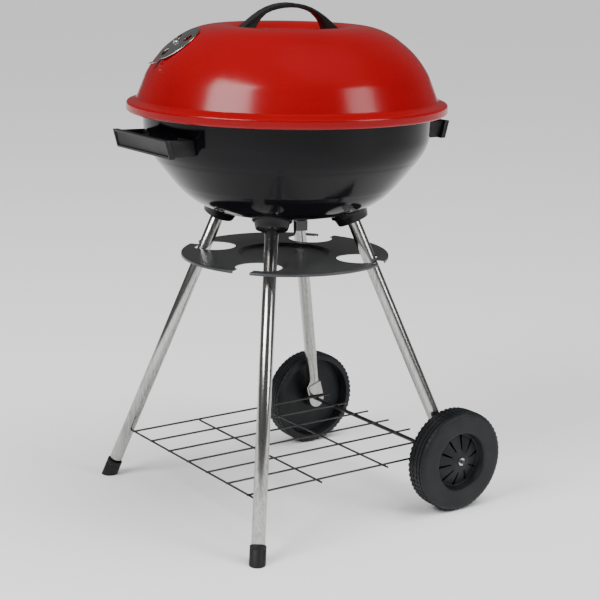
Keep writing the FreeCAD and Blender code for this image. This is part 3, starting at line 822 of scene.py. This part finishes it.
@dataclass
class VentPlace:
    """Where the lid's vent sits, and its own axes: out of the lid, and down the slope."""

    direction: float = 256.0
    radius: float = 161.5
    height: float = 674.2
    tilt: float = 53.5
    hole_circle: float = 22.0
    hole: float = 7.0

    def matrix(self) -> Matrix:
        """The placement from the vent's own axes, in millimetres about the kettle's axis."""
        level = Vector(polar(1.0, self.direction))
        tilt = math.radians(self.tilt)
        out = level * math.cos(tilt) + Vector((0, 0, 1)) * math.sin(tilt)
        down = (level - out * level.dot(out)).normalized()
        side = out.cross(down)
        turn = Matrix((down, side, out)).transposed().to_4x4()
        return Matrix.Translation(Vector(polar(self.radius, self.direction, self.height))) @ turn

    def holes(self, reach: float, material: bpy.types.Material) -> list[bpy.types.Object]:
        """Cutters for the three vent holes, which reach as far in as out."""
        return [round_hole(self.hole, 2 * reach, self.matrix() @ Matrix.Translation(
            Vector(polar(self.hole_circle, turn, -reach))), material) for turn in (0.0, 120.0, 240.0)]


@dataclass
class Lid:
    """The domed lid: flanged rim, sloping side, crowned shoulder and sunk middle."""

    paint: Finishes
    wall: float = 1.2
    rim: float = 577.5
    radius: float = 228.0
    vent: VentPlace = field(default_factory=VentPlace)

    def outline(self) -> list[Point]:
        """The outer side from the rim to the middle."""
        line: list[Point] = [(224.9, self.rim + 0.1)]
        line += arc(line[-1], (227.2, self.rim + 0.9), (self.radius, self.rim + 3.4), 5)
        line += straight(line[-1], (self.radius, 587.2), 3)
        line += arc(line[-1], (227.2, 589.9), (225.2, 591.0), 5)
        line += straight(line[-1], (216.9, 593.8), 3)
        line += arc(line[-1], (214.4, 595.2), (213.1, 597.6), 4)
        line += straight(line[-1], (200.9, 627.7), 8)
        line += arc(line[-1], (183.2, 654.0), (160.2, 675.0), 22)
        line += arc(line[-1], (131.0, 691.6), (98.0, 697.3), 20)
        line += arc(line[-1], (86.6, 695.8), (76.0, 691.3), 8)
        line += arc(line[-1], (65.4, 686.8), (54.0, 685.3), 8)
        return line + straight(line[-1], (0.0, 685.3), 3)

    def build(self) -> None:
        """Makes the shell with its vent holes."""
        shell = lathe("lid_shell", walled(self.outline(), self.wall), self.paint.lid, steps=256, crease=60)
        carve(shell, self.vent.holes(12.0, self.paint.lid), 60)
        install(shell, Body.LID, "red_enamel", "lid")


@dataclass
class LidHandle:
    """The arched handle across the lid's sunk middle, with a coarser-grained strip on top coloured lighter grey as
    painted sheen from the light above, and a groove on each side.
    """

    paint: Finishes
    direction: float = 256.0
    top: float = 728.0
    half_width: float = 13.0

    def build(self) -> None:
        """Lofts the arch from foot to foot."""
        outer: list[Point] = [(0.0, 0.0), (10.0, 0.65), (20.0, 2.6), (30.5, 6.1), (40.6, 11.2), (51.0, 18.1),
                              (61.0, 26.0), (69.0, 32.7), (72.6, 35.9)]
        inner: list[Point] = [(0.0, 6.5), (9.5, 7.0), (19.0, 8.4), (28.3, 10.8), (36.7, 14.5), (43.9, 21.0),
                              (49.3, 28.0), (53.0, 35.6), (54.6, 42.2)]
        stations = [(-1, k) for k in range(len(outer) - 1, 0, -1)] + [(1, k) for k in range(len(outer))]
        turn = Matrix.Rotation(math.radians(self.direction), 4, "Z")
        sections = []
        for side, k in stations:
            (xo, do), (xi, di) = outer[k], inner[k]
            depth = math.hypot(xi - xo, di - do)
            w = self.half_width
            half = [(w - 2.6, 0.45), (w - 2.2, 0.0), (w - 1.0, 0.0), (w - 0.3, 0.3), (w, 1.0), (w, 2.2),
                    (w - 0.7, 2.5), (w - 0.7, 3.1), (w, 3.4), (w, depth - 1.2), (w - 0.35, depth - 0.35),
                    (w - 1.2, depth)]
            ring = half + [(-y, d) for y, d in reversed(half)]
            last = k == len(outer) - 1
            points = []
            for y, d in ring:
                s = d / depth
                sag = 1.7 * 4 * s * (1 - s) if last else 0.0
                p = Vector((side * (xo + (xi - xo) * s), y, self.top - (do + (di - do) * s) - sag))
                points.append(turn @ p)
            sections.append(points)
        arch = loft("lid_handle_arch", sections, self.paint.handle, 40)
        arch.data.materials.append(self.paint.handle_top_grain_and_sheen)
        # Up-facing top faces get the second material: a coarser grain, and a lighter grey that is painted sheen of
        # the light falling on the handle's top.
        for face in arch.data.polygons:
            spots = [arch.data.vertices[v].co for v in face.vertices]
            if len(spots) == 4:
                mid = sum(spots, Vector()) / 4
                across = turn.inverted() @ (mid / MM - Vector((0, AXIS_Y, 0)))
                if abs(across.y) < 1.0 and face.normal.z > 0.3:
                    face.material_index = 1
        install(arch, Body.LID, "handle_plastic", "lid_handle")
        install(reworked("lid_handle_screws", "lid_handle_fixings", self.paint.zinc), Body.LID, "bright_zinc",
                "lid_handle_screws")


@dataclass
class LidVent:
    """The turning disc of the lid's vent and the rivet that holds it."""

    paint: Finishes
    vent: VentPlace = field(default_factory=VentPlace)
    radius: float = 35.0
    thick: float = 1.2
    lift: float = 1.0
    crown: float = 240.0

    def sag(self, r: float) -> float:
        """How far the domed disc has dropped at a radius."""
        return self.crown - math.sqrt(self.crown ** 2 - r ** 2)

    def build(self) -> None:
        """Makes the disc with its holes and turned-up tab."""
        place = self.vent.matrix()
        radii = [0.0, 4.0, 9.0, 15.0, 22.0, 29.0, 33.0, self.radius - 0.4]
        top = [(r, self.lift + self.thick - self.sag(r)) for r in radii]
        rim = [(self.radius, self.lift + self.thick - self.sag(self.radius) - 0.35),
               (self.radius, self.lift - self.sag(self.radius) + 0.3)]
        low = [(r, self.lift - self.sag(r)) for r in reversed(radii)]
        disc = lathe("lid_vent_plate", top + rim + low, self.paint.zinc, place, 96, 40)
        carve(disc, self.vent.holes(6.0, self.paint.zinc), 40)
        base = self.lift - self.sag(self.radius)
        sections = []
        for x, z, w in ((33.0, base, 6.0), (38.0, base - 0.2, 6.0), (41.0, base - 0.1, 6.0), (43.5, base + 0.6, 5.9),
                        (46.5, base + 1.8, 5.2), (49.0, base + 2.8, 3.6), (50.0, base + 3.2, 2.4)):
            sections.append([place @ Vector((x, y, z + t)) for y, t in
                             ((-w, 0.2), (-w, self.thick - 0.2), (-w + 0.3, self.thick), (w - 0.3, self.thick),
                              (w, self.thick - 0.2), (w, 0.2), (w - 0.3, 0.0), (-w + 0.3, 0.0))])
        plate = merged([disc, loft("tab", sections, self.paint.zinc, 40)])
        install(plate, Body.LID_VENT, "bright_zinc", "lid_vent_disc")
        head = self.lift + self.thick + 0.4
        section = [(0.0, -2.9), (4.6, -2.9), (4.9, -2.4), (4.7, -1.3), (2.5, -1.3), (2.5, head), (4.3, head),
                   (4.6, head + 0.4), (4.2, head + 1.2), (3.0, head + 1.8), (1.4, head + 2.1), (0.0, head + 2.2)]
        rivet = lathe("lid_vent_fixing", section, self.paint.zinc, place, 40, 50)
        wing = []
        for x, w, h in ((-5.5, 0.5, 1.2), (-4.6, 1.0, 2.6), (-2.0, 1.2, 3.2), (2.0, 1.2, 3.2), (4.6, 1.0, 2.6),
                        (5.5, 0.5, 1.2)):
            wing.append([place @ Vector((x, y, head + z)) for y, z in ((-w, 0.1), (-w, h - 0.4), (-w * 0.5, h),
                                                                       (w * 0.5, h), (w, h - 0.4), (w, 0.1))])
        install(merged([rivet, loft("wing", wing, self.paint.zinc, 50)]), Body.LID, "bright_zinc", "lid_vent_rivet")


@dataclass
class Bowl:
    """The kettle's lower half with its rolled lip, bottom vent and inner ledges."""

    paint: Finishes
    wall: float = 1.2
    floor: float = 432.5
    lip: float = 591.5
    lip_radius: float = 206.6
    bead: float = 3.2

    def outline(self) -> list[Point]:
        """The outer side from the lip to the middle of the floor."""
        up: list[Point] = [(0.0, self.floor)]
        up += straight(up[-1], (70.0, self.floor), 4)
        up += arc(up[-1], (116.9, 442.47), (157.6, 473.1), 26)
        up += arc(up[-1], (159.2, 474.7), (160.7, 476.4), 2)
        up += straight(up[-1], (188.0, 510.2), 8)
        up += arc(up[-1], (189.6, 512.4), (191.0, 514.8), 2)
        up += arc(up[-1], (198.3, 526.4), (203.3, 541.0), 10)
        return (up + straight(up[-1], (self.lip_radius, self.lip), 8))[::-1]

    def build(self) -> None:
        """Makes the shell, its lip and the fittings that stay on it."""
        outline = self.outline()
        section = walled([(r, z) for r, z in outline], -self.wall)
        shell = lathe("bowl_shell", section, self.paint.bowl, steps=256, crease=60)
        cutters = [round_hole(11.0, 12.0, Matrix.Translation(Vector(polar(32.0, a, self.floor - 5))),
                              self.paint.bowl, 48) for a in (90, 210, 330)]
        carve(shell, cutters, 60)
        ring = [(self.lip_radius + self.bead - 0.6 + self.bead * math.cos(math.tau * k / 20),
                 self.lip + self.bead * math.sin(math.tau * k / 20)) for k in range(20)]
        install(merged([shell, lathe("lip", ring, self.paint.bowl, steps=256)]), Body.STAND, "black_enamel", "bowl")
        for node, name, finish, slot in (
                ("grate_rests", "cooking_grate_tabs", self.paint.tray, "satin_black"),
                ("coal_rests", "charcoal_grate_ledges", self.paint.tray, "satin_black"),
                ("bowl_vent_rivet", "bowl_vent_fixing", self.paint.zinc, "bright_zinc"),
                ("socket_bolts", "socket_fixings", self.paint.zinc, "bright_zinc")):
            install(reworked(node, name, finish), Body.STAND, slot, node)
        install(reworked("bowl_vent_disc", "bowl_vent_plate", self.paint.tray), Body.BOWL_VENT, "satin_black",
                "bowl_vent_disc")


@dataclass
class Grate:
    """A round wire grate: a ring, parallel bars and tie wires."""

    finish: bpy.types.Material
    slot: str
    body: Body
    radius: float
    height: float
    pitch: float
    ties: tuple[float, ...]
    ring_wire: float = 2.5
    bar: float = 1.6

    def build(self, bender: WireBender) -> None:
        """Bends and welds the wires."""
        reach = self.radius - self.ring_wire
        ring = bender.apply(chains(f"{self.body.value}_wires", [circle_line(reach, self.height, 160)]),
                            Radius=self.ring_wire * MM, Sides=12, Finish=self.finish)
        lines = []
        count = int((self.radius - 12) / self.pitch)
        for k in range(-count, count + 1):
            half = math.sqrt(reach ** 2 - (k * self.pitch) ** 2)
            lines.append([(-half, k * self.pitch, self.height), (half, k * self.pitch, self.height)])
        for x in self.ties:
            half = math.sqrt(reach ** 2 - x ** 2)
            lines.append([(x, -half, self.height - 2), (x, half, self.height - 2)])
        bars = bender.apply(chains("bars", lines), Radius=self.bar * MM, Sides=10, Finish=self.finish)
        install(merged([ring, bars]), self.body, self.slot, self.body.value)


@dataclass
class SideHandle:
    """A leaning grip plate with a sunk face, on two arms with pads bolted to the bowl."""

    paint: Finishes
    end: End
    top: Point = (-241.5, 557.0)
    low: Point = (-234.5, 531.5)
    half: float = 73.0
    thick: float = 8.0
    arm: float = 62.0
    arm_thick: float = 6.0
    pad_radius: float = 208.5

    def plate(self) -> bpy.types.Object:
        """The grip plate with its raised border and sunk face."""
        (ty, tz), (ly, lz) = self.top, self.low
        slab = prism("slab", [(-self.half, ty, tz), (-self.half, ly, lz), (-self.half, ly + self.thick, lz),
                              (-self.half, ty + self.thick, tz)], (2 * self.half, 0, 0), self.paint.handle)
        lean = (ly - ty) / (lz - tz)
        border, depth = 3.4, 2.4
        y0, y1 = ty - lean * border, ly + lean * border
        well = prism("well", [(-self.half + border, y0 - 6, tz - border), (-self.half + border, y1 - 6, lz + border),
                              (-self.half + border, y1 + depth, lz + border),
                              (-self.half + border, y0 + depth, tz - border)],
                     (2 * (self.half - border), 0, 0), self.paint.handle)
        carve(slab, [well])
        soften(slab, 0.7, 2)
        return slab

    def build(self) -> None:
        """Makes plate, arms and pads."""
        (ty, tz), (ly, lz) = self.top, self.low
        parts = [self.plate()]
        for side in (-1, 1):
            x0, x1 = sorted((side * self.arm, side * (self.arm + self.arm_thick)))
            reach = -math.sqrt(204.6 ** 2 - self.arm ** 2)
            arm = prism("arm", [(x0, ty + 4, tz - 1), (x0, ly + 4, lz + 1), (x0, reach + 4, lz + 1),
                                (x0, reach, tz - 2)], (x1 - x0, 0, 0), self.paint.handle)
            soften(arm, 0.9, 2)
            parts.append(arm)
            a0 = math.degrees(math.asin((self.arm - 21) / self.pad_radius))
            a1 = math.degrees(math.asin((self.arm + 6) / self.pad_radius))
            sections = []
            for k in range(9):
                a = -90 + side * (a0 + (a1 - a0) * k / 8)
                ring = [(204.4, 534.5), (206.0, 533.4), (self.pad_radius - 0.8, 533.4), (self.pad_radius, 534.4),
                        (self.pad_radius, 553.8), (self.pad_radius - 0.8, 554.8), (206.8, 554.8), (205.0, 553.0)]
                sections.append([Vector(polar(r, a, z)) for r, z in ring])
            parts.append(loft("pad", sections, self.paint.handle))
        whole = merged(parts)
        node = "side_handle_foot_side"
        if self.end is End.WHEEL:
            half_turn(whole)
            node = "side_handle_wheel_side"
        whole.name = f"side_grip_{self.end.name.lower()}"
        install(whole, Body.STAND, "handle_plastic", node)


def half_turn(piece: bpy.types.Object) -> None:
    """Turns a piece's mesh half way round the kettle's axis."""
    centre = Vector((0, AXIS_Y * MM, 0))
    piece.data.transform(Matrix.Translation(centre) @ Matrix.Rotation(math.pi, 4, "Z") @ Matrix.Translation(-centre))


def mirrored(piece: bpy.types.Object) -> None:
    """Mirrors a piece's mesh across the grill's middle plane and turns its faces the right way out."""
    piece.data.transform(Matrix.Scale(-1, 4, Vector((1, 0, 0))))
    piece.data.flip_normals()


# ------------------------------------------------------------------ stand

@dataclass
class Leg:
    """One tube leg: its axis runs from inside its socket to the ground or to the axle."""

    paint: Finishes
    end: End
    left: bool
    tube: float = 9.5
    top: Triple = (72.0, 72.0, 417.0)
    foot: Triple = (210.0, 181.0, 0.0)
    bend: Triple = (163.0, 171.0, 112.0)
    axle: Point = (180.5, 75.0)
    plate_x: float = 164.5

    def ends(self) -> tuple[Vector, Vector]:
        """Top and bottom of the leg's straight axis on the +X side."""
        sign = self.end.value
        top = Vector((self.top[0], sign * self.top[1], self.top[2]))
        low = self.foot if self.end is End.FOOT else self.bend
        return top, Vector((low[0], sign * abs(low[1]), low[2]))

    def along(self, z: float) -> Vector:
        """The point of the leg's axis at a height."""
        top, low = self.ends()
        return top + (low - top) * ((z - top.z) / (low.z - top.z))

    def name(self, part: str) -> str:
        """A piece's name with its end and side."""
        return f"{part}_{self.end.name.lower()}_{'left' if self.left else 'right'}"

    def placed(self, piece: bpy.types.Object, slot: str, node: str) -> None:
        """Mirrors a piece when it is on the left, and installs it on the stand."""
        if self.left:
            mirrored(piece)
        install(piece, Body.STAND, slot, node)

    def straight_leg(self) -> bpy.types.Object:
        """The plain tube of a foot leg, open at its upper end."""
        start, stop = self.along(428.0), self.along(5.0)
        length = (stop - start).length
        wall = 1.2
        section = [(self.tube - wall, 0.2), (self.tube - 0.3, 0.0), (self.tube, 0.3), (self.tube, length - 0.3),
                   (self.tube - 0.3, length), (self.tube - wall, length)]
        return lathe(self.name("leg_tube"), section, self.paint.leg, axis_place(start, stop - start), 48, 50)

    def pressed_leg(self) -> bpy.types.Object:
        """The tube of a wheel leg, pressed flat below its bend and rounded round the axle."""
        y, z = self.axle
        eye = Vector((self.plate_x, y, z))
        start = Vector((self.plate_x, 174.5, 98.0))
        down_plate = (eye - start).normalized()
        bend = self.along(112.0)
        down_tube = (bend - self.along(200.0)).normalized()
        stations: list[tuple[Vector, Vector, float, float]] = [
            (self.along(h), down_tube, self.tube, self.tube) for h in (428.0, 300.0, 200.0, 120.0, 114.0)]
        for k in range(1, 9):
            t = k / 8
            s = t * t * (3 - 2 * t)
            centre = bend.lerp(start, t)
            stations.append((centre, down_tube.lerp(down_plate, s).normalized(), self.tube + (14.0 - self.tube) * s,
                             self.tube + (1.5 - self.tube) * s))
        stations.append((eye - down_plate * 3, down_plate, 14.0, 1.5))
        for k in range(0, 9):
            a = math.radians(86 * k / 8)
            stations.append((eye + down_plate * 14.0 * math.sin(a), down_plate, 14.0 * math.cos(a), 1.5))
        sections = []
        for centre, down, wide, thin in stations:
            across = Vector((0, -down.z, down.y)).normalized()
            across = (across - down * across.dot(down)).normalized()
            normal = down.cross(across)
            power = 2.0 / (2.0 + 4.0 * max(0.0, 1.0 - thin / self.tube))
            ring = []
            for k in range(40):
                a = math.tau * k / 40
                c, s = math.cos(a), math.sin(a)
                u = math.copysign(abs(c) ** power, c) * wide
                v = math.copysign(abs(s) ** power, s) * thin
                ring.append(centre + across * u + normal * v)
            sections.append(ring)
        leg = loft(self.name("leg_tube"), sections, self.paint.leg, 40)
        return leg

    def socket(self) -> None:
        """The moulded cup that joins the leg to the bowl."""
        top, low = self.ends()
        up = (top - low).normalized()
        base = top + up * 5.0
        section = [(9.6, 0.0), (21.0, 0.0), (22.4, 0.8), (23.0, 2.2), (25.2, 11.4), (25.8, 12.0), (27.6, 12.2),
                   (28.4, 13.2), (28.4, 38.0), (9.6, 38.0)]
        cup = lathe(self.name("leg_socket"), section, self.paint.socket, axis_place(base, up), 72, 40)
        outline = Bowl(self.paint).outline()
        solid = lathe("kettle", [(0.0, 591.5)] + outline, self.paint.socket, steps=128)
        carve(cup, [solid], 40)
        side = "left" if self.left else "right"
        self.placed(cup, "socket_plastic", f"socket_{self.end.name.lower()}_{side}")

    def cap(self) -> None:
        """The plastic cap on a foot leg, cut level with the ground."""
        top, low = self.ends()
        down = (low - top).normalized()
        start = self.along(24.0)
        length = (low + down * 14 - start).length
        section = [(9.6, 0.8), (10.6, 0.0), (11.2, 0.4), (11.5, 1.2), (11.5, 6.0), (11.2, 6.5), (11.5, 7.0),
                   (11.5, length), (0.0, length), (0.0, 20.0), (9.6, 20.0)]
        cap = lathe(self.name("foot_cap"), section, self.paint.cap, axis_place(start, down), 48, 35)
        block = prism("ground", [(150, -240, -40), (260, -240, -40), (260, -120, -40), (150, -120, -40)], (0, 0, 40),
                      self.paint.cap)
        carve(cap, [block])
        self.placed(cap, "handle_plastic", f"foot_cap_{'left' if self.left else 'right'}")

    def build(self) -> None:
        """Makes the leg with its socket and cap."""
        tube = self.straight_leg() if self.end is End.FOOT else self.pressed_leg()
        side = "left" if self.left else "right"
        self.placed(tube, "leg_steel", f"{self.end.name.lower()}_leg_{side}")
        self.socket()
        if self.end is End.FOOT:
            self.cap()


@dataclass
class Wheel:
    """A moulded wheel: smooth rim face, sunk slotted middle and a barred tread."""

    paint: Finishes
    left: bool
    centre: Point = (180.5, 75.0)
    inner: float = 168.0
    outer: float = 203.0
    radius: float = 75.0
    slits: int = 10
    bars: int = 56

    def build(self, tread: TreadBars) -> None:
        """Turns the wheel, cuts its slits and adds its tread."""
        deep = 73.7
        section: list[Point] = [(3.1, 168.0), (14.0, 168.0), (16.0, 184.0), (61.0, 184.0), (64.0, 168.0)]
        section += [(69.0, 168.0)]
        section += arc(section[-1], (72.6, 169.6), (74.2, 173.6), 5)
        for low, high in ((174.6, 175.8), (180.6, 181.8), (188.6, 189.8), (194.6, 195.8)):
            section += [(74.2, low - 0.2), (deep - 1.0, low + 0.2), (deep - 1.0, high - 0.2), (74.2, high + 0.2)]
        section += arc((74.2, 196.2), (73.0, 200.2), (69.0, 202.6), 6)
        section += arc(section[-1], (68.0, 202.85), (66.5, 203.0), 2)
        section += straight(section[-1], (46.2, 203.0), 4)
        section += arc(section[-1], (43.5, 202.3), (42.0, 200.0), 4)
        section += [(39.9, 192.0)]
        section += arc(section[-1], (38.7, 191.0), (37.0, 191.2), 3)
        section += straight(section[-1], (14.5, 199.4), 6)
        section += arc(section[-1], (13.0, 200.2), (11.6, 200.6), 3)
        section += [(3.1, 200.6)]
        y, z = self.centre
        place = Matrix.Translation(Vector((0, y, z))) @ Matrix.Rotation(math.pi / 2, 4, "Y")
        name = "wheel_left_rim" if self.left else "wheel_right_rim"
        wheel = lathe(name, section, self.paint.wheel, place, 144, 32)
        cutters = []
        for k in range(self.slits):
            a = math.tau * k / self.slits + math.radians(10)
            out, side = Vector((0, math.cos(a), math.sin(a))), Vector((0, -math.sin(a), math.cos(a)))
            hub = Vector((0, y, z))
            corners = [hub + out * r + side * s for r, s in ((17.0, -0.9), (37.8, -2.1), (38.6, 0.0), (37.8, 2.1),
                                                            (17.0, 0.9), (16.2, 0.0))]
            cutters.append(prism("slit", [(188.0, c.y, c.z) for c in corners], (16.0, 0, 0), self.paint.wheel))
        carve(wheel, cutters, 32)
        rows = []
        for start, length in ((171.9, 3.6), (178.2, 4.4), (185.2, 6.4), (192.2, 4.4), (198.0, 2.8)):
            rim = 74.15 if 173 < start < 197 else 73.5
            row = chains("row", [])
            tread.apply(row, Count=self.bars, Rim=rim * MM, Length=length * MM, Width=4.2 * MM, Rise=1.5 * MM,
                        Start=start * MM, Finish=self.paint.wheel)
            row.data.transform(Matrix.Translation(at(0, y, z)) @ Matrix.Rotation(math.pi / 2, 4, "Y"))
            rows.append(row)
        whole = merged([wheel] + rows)
        smooth(whole, 32)
        if self.left:
            mirrored(whole)
        body = Body.WHEEL_LEFT if self.left else Body.WHEEL_RIGHT
        install(whole, body, "wheel_plastic", body.value)


@dataclass
class Rack:
    """The welded wire shelf that lies on the axle and on its cross wires."""

    paint: Finishes
    wire: float = 1.5
    height: float = 79.5
    cross: float = 77.3
    half: float = 160.0
    count: int = 7
    back: float = 202.5
    cross_at: Point = (-47.0, 70.0)

    def build(self, bender: WireBender, welds: WeldBeads) -> None:
        """Bends the wires and welds every crossing."""
        leg = Leg(self.paint, End.FOOT, False)
        foot = leg.along(self.cross)
        xs = [-self.half + 2 * self.half / (self.count - 1) * k for k in range(self.count)]
        lines = [[(x, foot.y - 5, self.height), (x, self.back, self.height)] for x in xs]
        rows = [(-foot.x - 7, foot.x + 7, foot.y)]
        rows += [(-self.half, self.half + 8, y) for y in self.cross_at]
        lines += [[(x0, y, self.cross), (x1, y, self.cross)] for x0, x1, y in rows]
        wires = bender.apply(chains("rack_wires", lines), Radius=self.wire * MM, Sides=14, Finish=self.paint.wire)
        spots = chains("rack_welds", [[(x, y + s, (self.height + self.cross) / 2)] for x in xs
                                      for _, _, y in rows for s in (-1.3, 1.3)])
        beads = welds.apply(spots, Bead=0.95 * MM, Finish=self.paint.wire)
        install(merged([wires, beads]), Body.STAND, "black_wire", "bottom_rack")


@dataclass
class SmallParts:
    """Axle, clips, washers, tray and side-handle fixings, which keep their CAD shapes."""

    paint: Finishes

    def build(self) -> None:
        """Dresses each part with its finish and smooth shading."""
        p = self.paint
        table = (
            ("axle", "axle_bar", p.wire, Body.STAND, "black_wire"),
            ("axle_clips", "axle_end_clips", p.zinc, Body.STAND, "bright_zinc"),
            ("axle_washers", "axle_spacers", p.zinc, Body.STAND, "bright_zinc"),
            ("ash_tray", "ash_tray_plate", p.tray, Body.TRAY, "satin_black"),
            ("side_handle_bolts", "side_handle_screws", p.zinc, Body.STAND, "bright_zinc"),
            ("side_handle_nuts", "side_handle_hexes", p.zinc, Body.STAND, "bright_zinc"),
        )
        for node, name, finish, body, slot in table:
            install(reworked(node, name, finish), body, slot, node)


# ------------------------------------------------------------------ studio

@dataclass
class Studio:
    """Pale floor, soft boxes and the camera."""

    eye: Triple = (1.8090, -1.2466, 0.8281)
    aim: Triple = (0.0, -0.007, 0.2987)
    lens: float = 92.2
    roll: float = 0.85
    shift: float = 0.0265
    floor_reach: float = 30.0
    floor_gap: float = 0.0006
    world_strength: float = 0.14
    sun_strength: float = 3.0
    sun_spread: float = 50.0
    sun_turn: Triple = (-12.0, 14.0, 0.0)

    def camera(self) -> None:
        """Sets up the camera."""
        data = bpy.data.cameras.new("camera")
        data.lens, data.sensor_width, data.shift_x = self.lens, 36.0, self.shift
        data.clip_start, data.clip_end = 0.05, 60.0
        eye = shown("camera", data)
        look = Vector(self.aim) - Vector(self.eye)
        eye.rotation_mode = "QUATERNION"
        turn = look.to_track_quat("-Z", "Y").to_matrix() @ Matrix.Rotation(math.radians(self.roll), 3, "Z")
        eye.rotation_quaternion = turn.to_quaternion()
        eye.location = self.eye
        bpy.context.scene.camera = eye

    def soft_box(self, name: str, place: Triple, size: Point, power: float,
                 aim: Triple = (0.0, 0.0, 0.45), mirrored_in_paint: bool = True) -> None:
        """Hangs one rectangular light.

        Args:
            name: the light's name.
            place: where it hangs.
            size: its width and height.
            power: watts.
            aim: the point it faces.
            mirrored_in_paint: whether glossy finishes show it.
        """
        data = bpy.data.lights.new(name, "AREA")
        data.shape = "RECTANGLE"
        data.size, data.size_y = size
        data.energy = power
        lamp = shown(name, data)
        lamp.visible_glossy = mirrored_in_paint
        lamp.location = place
        lamp.rotation_mode = "QUATERNION"
        lamp.rotation_quaternion = (Vector(aim) - Vector(place)).to_track_quat("-Z", "Y")

    def build(self) -> None:
        """Makes the floor, the lights and the pale surroundings."""
        g = ShaderGraph("studio_floor")
        g.feed(base_color=g.mixed(g.noise(1.5, 2.0), (0.86, 0.86, 0.86), (0.88, 0.88, 0.88)), roughness=0.9)
        s = self.floor_reach
        floor = build("floor", [(-s, -s, 0), (s, -s, 0), (s, s, 0), (-s, s, 0)], [(0, 1, 2, 3)], g.material)
        if floor.data.polygons[0].normal.z < 0:
            floor.data.flip_normals()
        floor.location.z = -self.floor_gap
        world = bpy.data.worlds.new("studio")
        world.use_nodes = True
        back = world.node_tree.nodes["Background"]
        back.inputs["Color"].default_value = (1.0, 1.0, 1.0, 1.0)
        back.inputs["Strength"].default_value = self.world_strength
        bpy.context.scene.world = world
        self.sun()
        self.soft_box("key", (0.3, -2.4, 2.3), (1.6, 1.2), 95)
        self.soft_box("fill", (2.4, 1.2, 1.6), (1.0, 1.6), 40)
        self.soft_box("top", (-0.2, 0.2, 4.0), (5.0, 5.0), 30, mirrored_in_paint=False)

    def sun(self) -> None:
        """Lights the floor evenly, with no highlight in the paint."""
        data = bpy.data.lights.new("sun", "SUN")
        data.energy, data.angle = self.sun_strength, math.radians(self.sun_spread)
        lamp = shown("sun", data)
        lamp.visible_glossy = False
        lamp.rotation_euler = [math.radians(a) for a in self.sun_turn]


def main() -> None:
    """Builds the grill, reports every piece and sets up the studio."""
    logging.basicConfig(level=logging.INFO, format="%(name)s: %(message)s")
    paint = Finishes.make()
    bender, welds, tread = WireBender(), WeldBeads(), TreadBars()
    studio = Studio()
    studio.camera()
    Lid(paint).build()
    LidHandle(paint).build()
    LidVent(paint).build()
    Bowl(paint).build()
    Grate(paint.grate, "grate_steel", Body.COOKING_GRATE, 197.0, 560.0, 15.5, (-90.0, 90.0)).build(bender)
    Grate(paint.wire, "black_wire", Body.CHARCOAL_GRATE, 157.0, 480.0, 21.0, (-70.0, 70.0)).build(bender)
    for end in End:
        SideHandle(paint, end).build()
        for left in (False, True):
            Leg(paint, end, left).build()
    for left in (False, True):
        Wheel(paint, left).build(tread)
    Rack(paint).build(bender, welds)
    SmallParts(paint).build()
    studio.build()


if __name__ == "__main__":
    main()
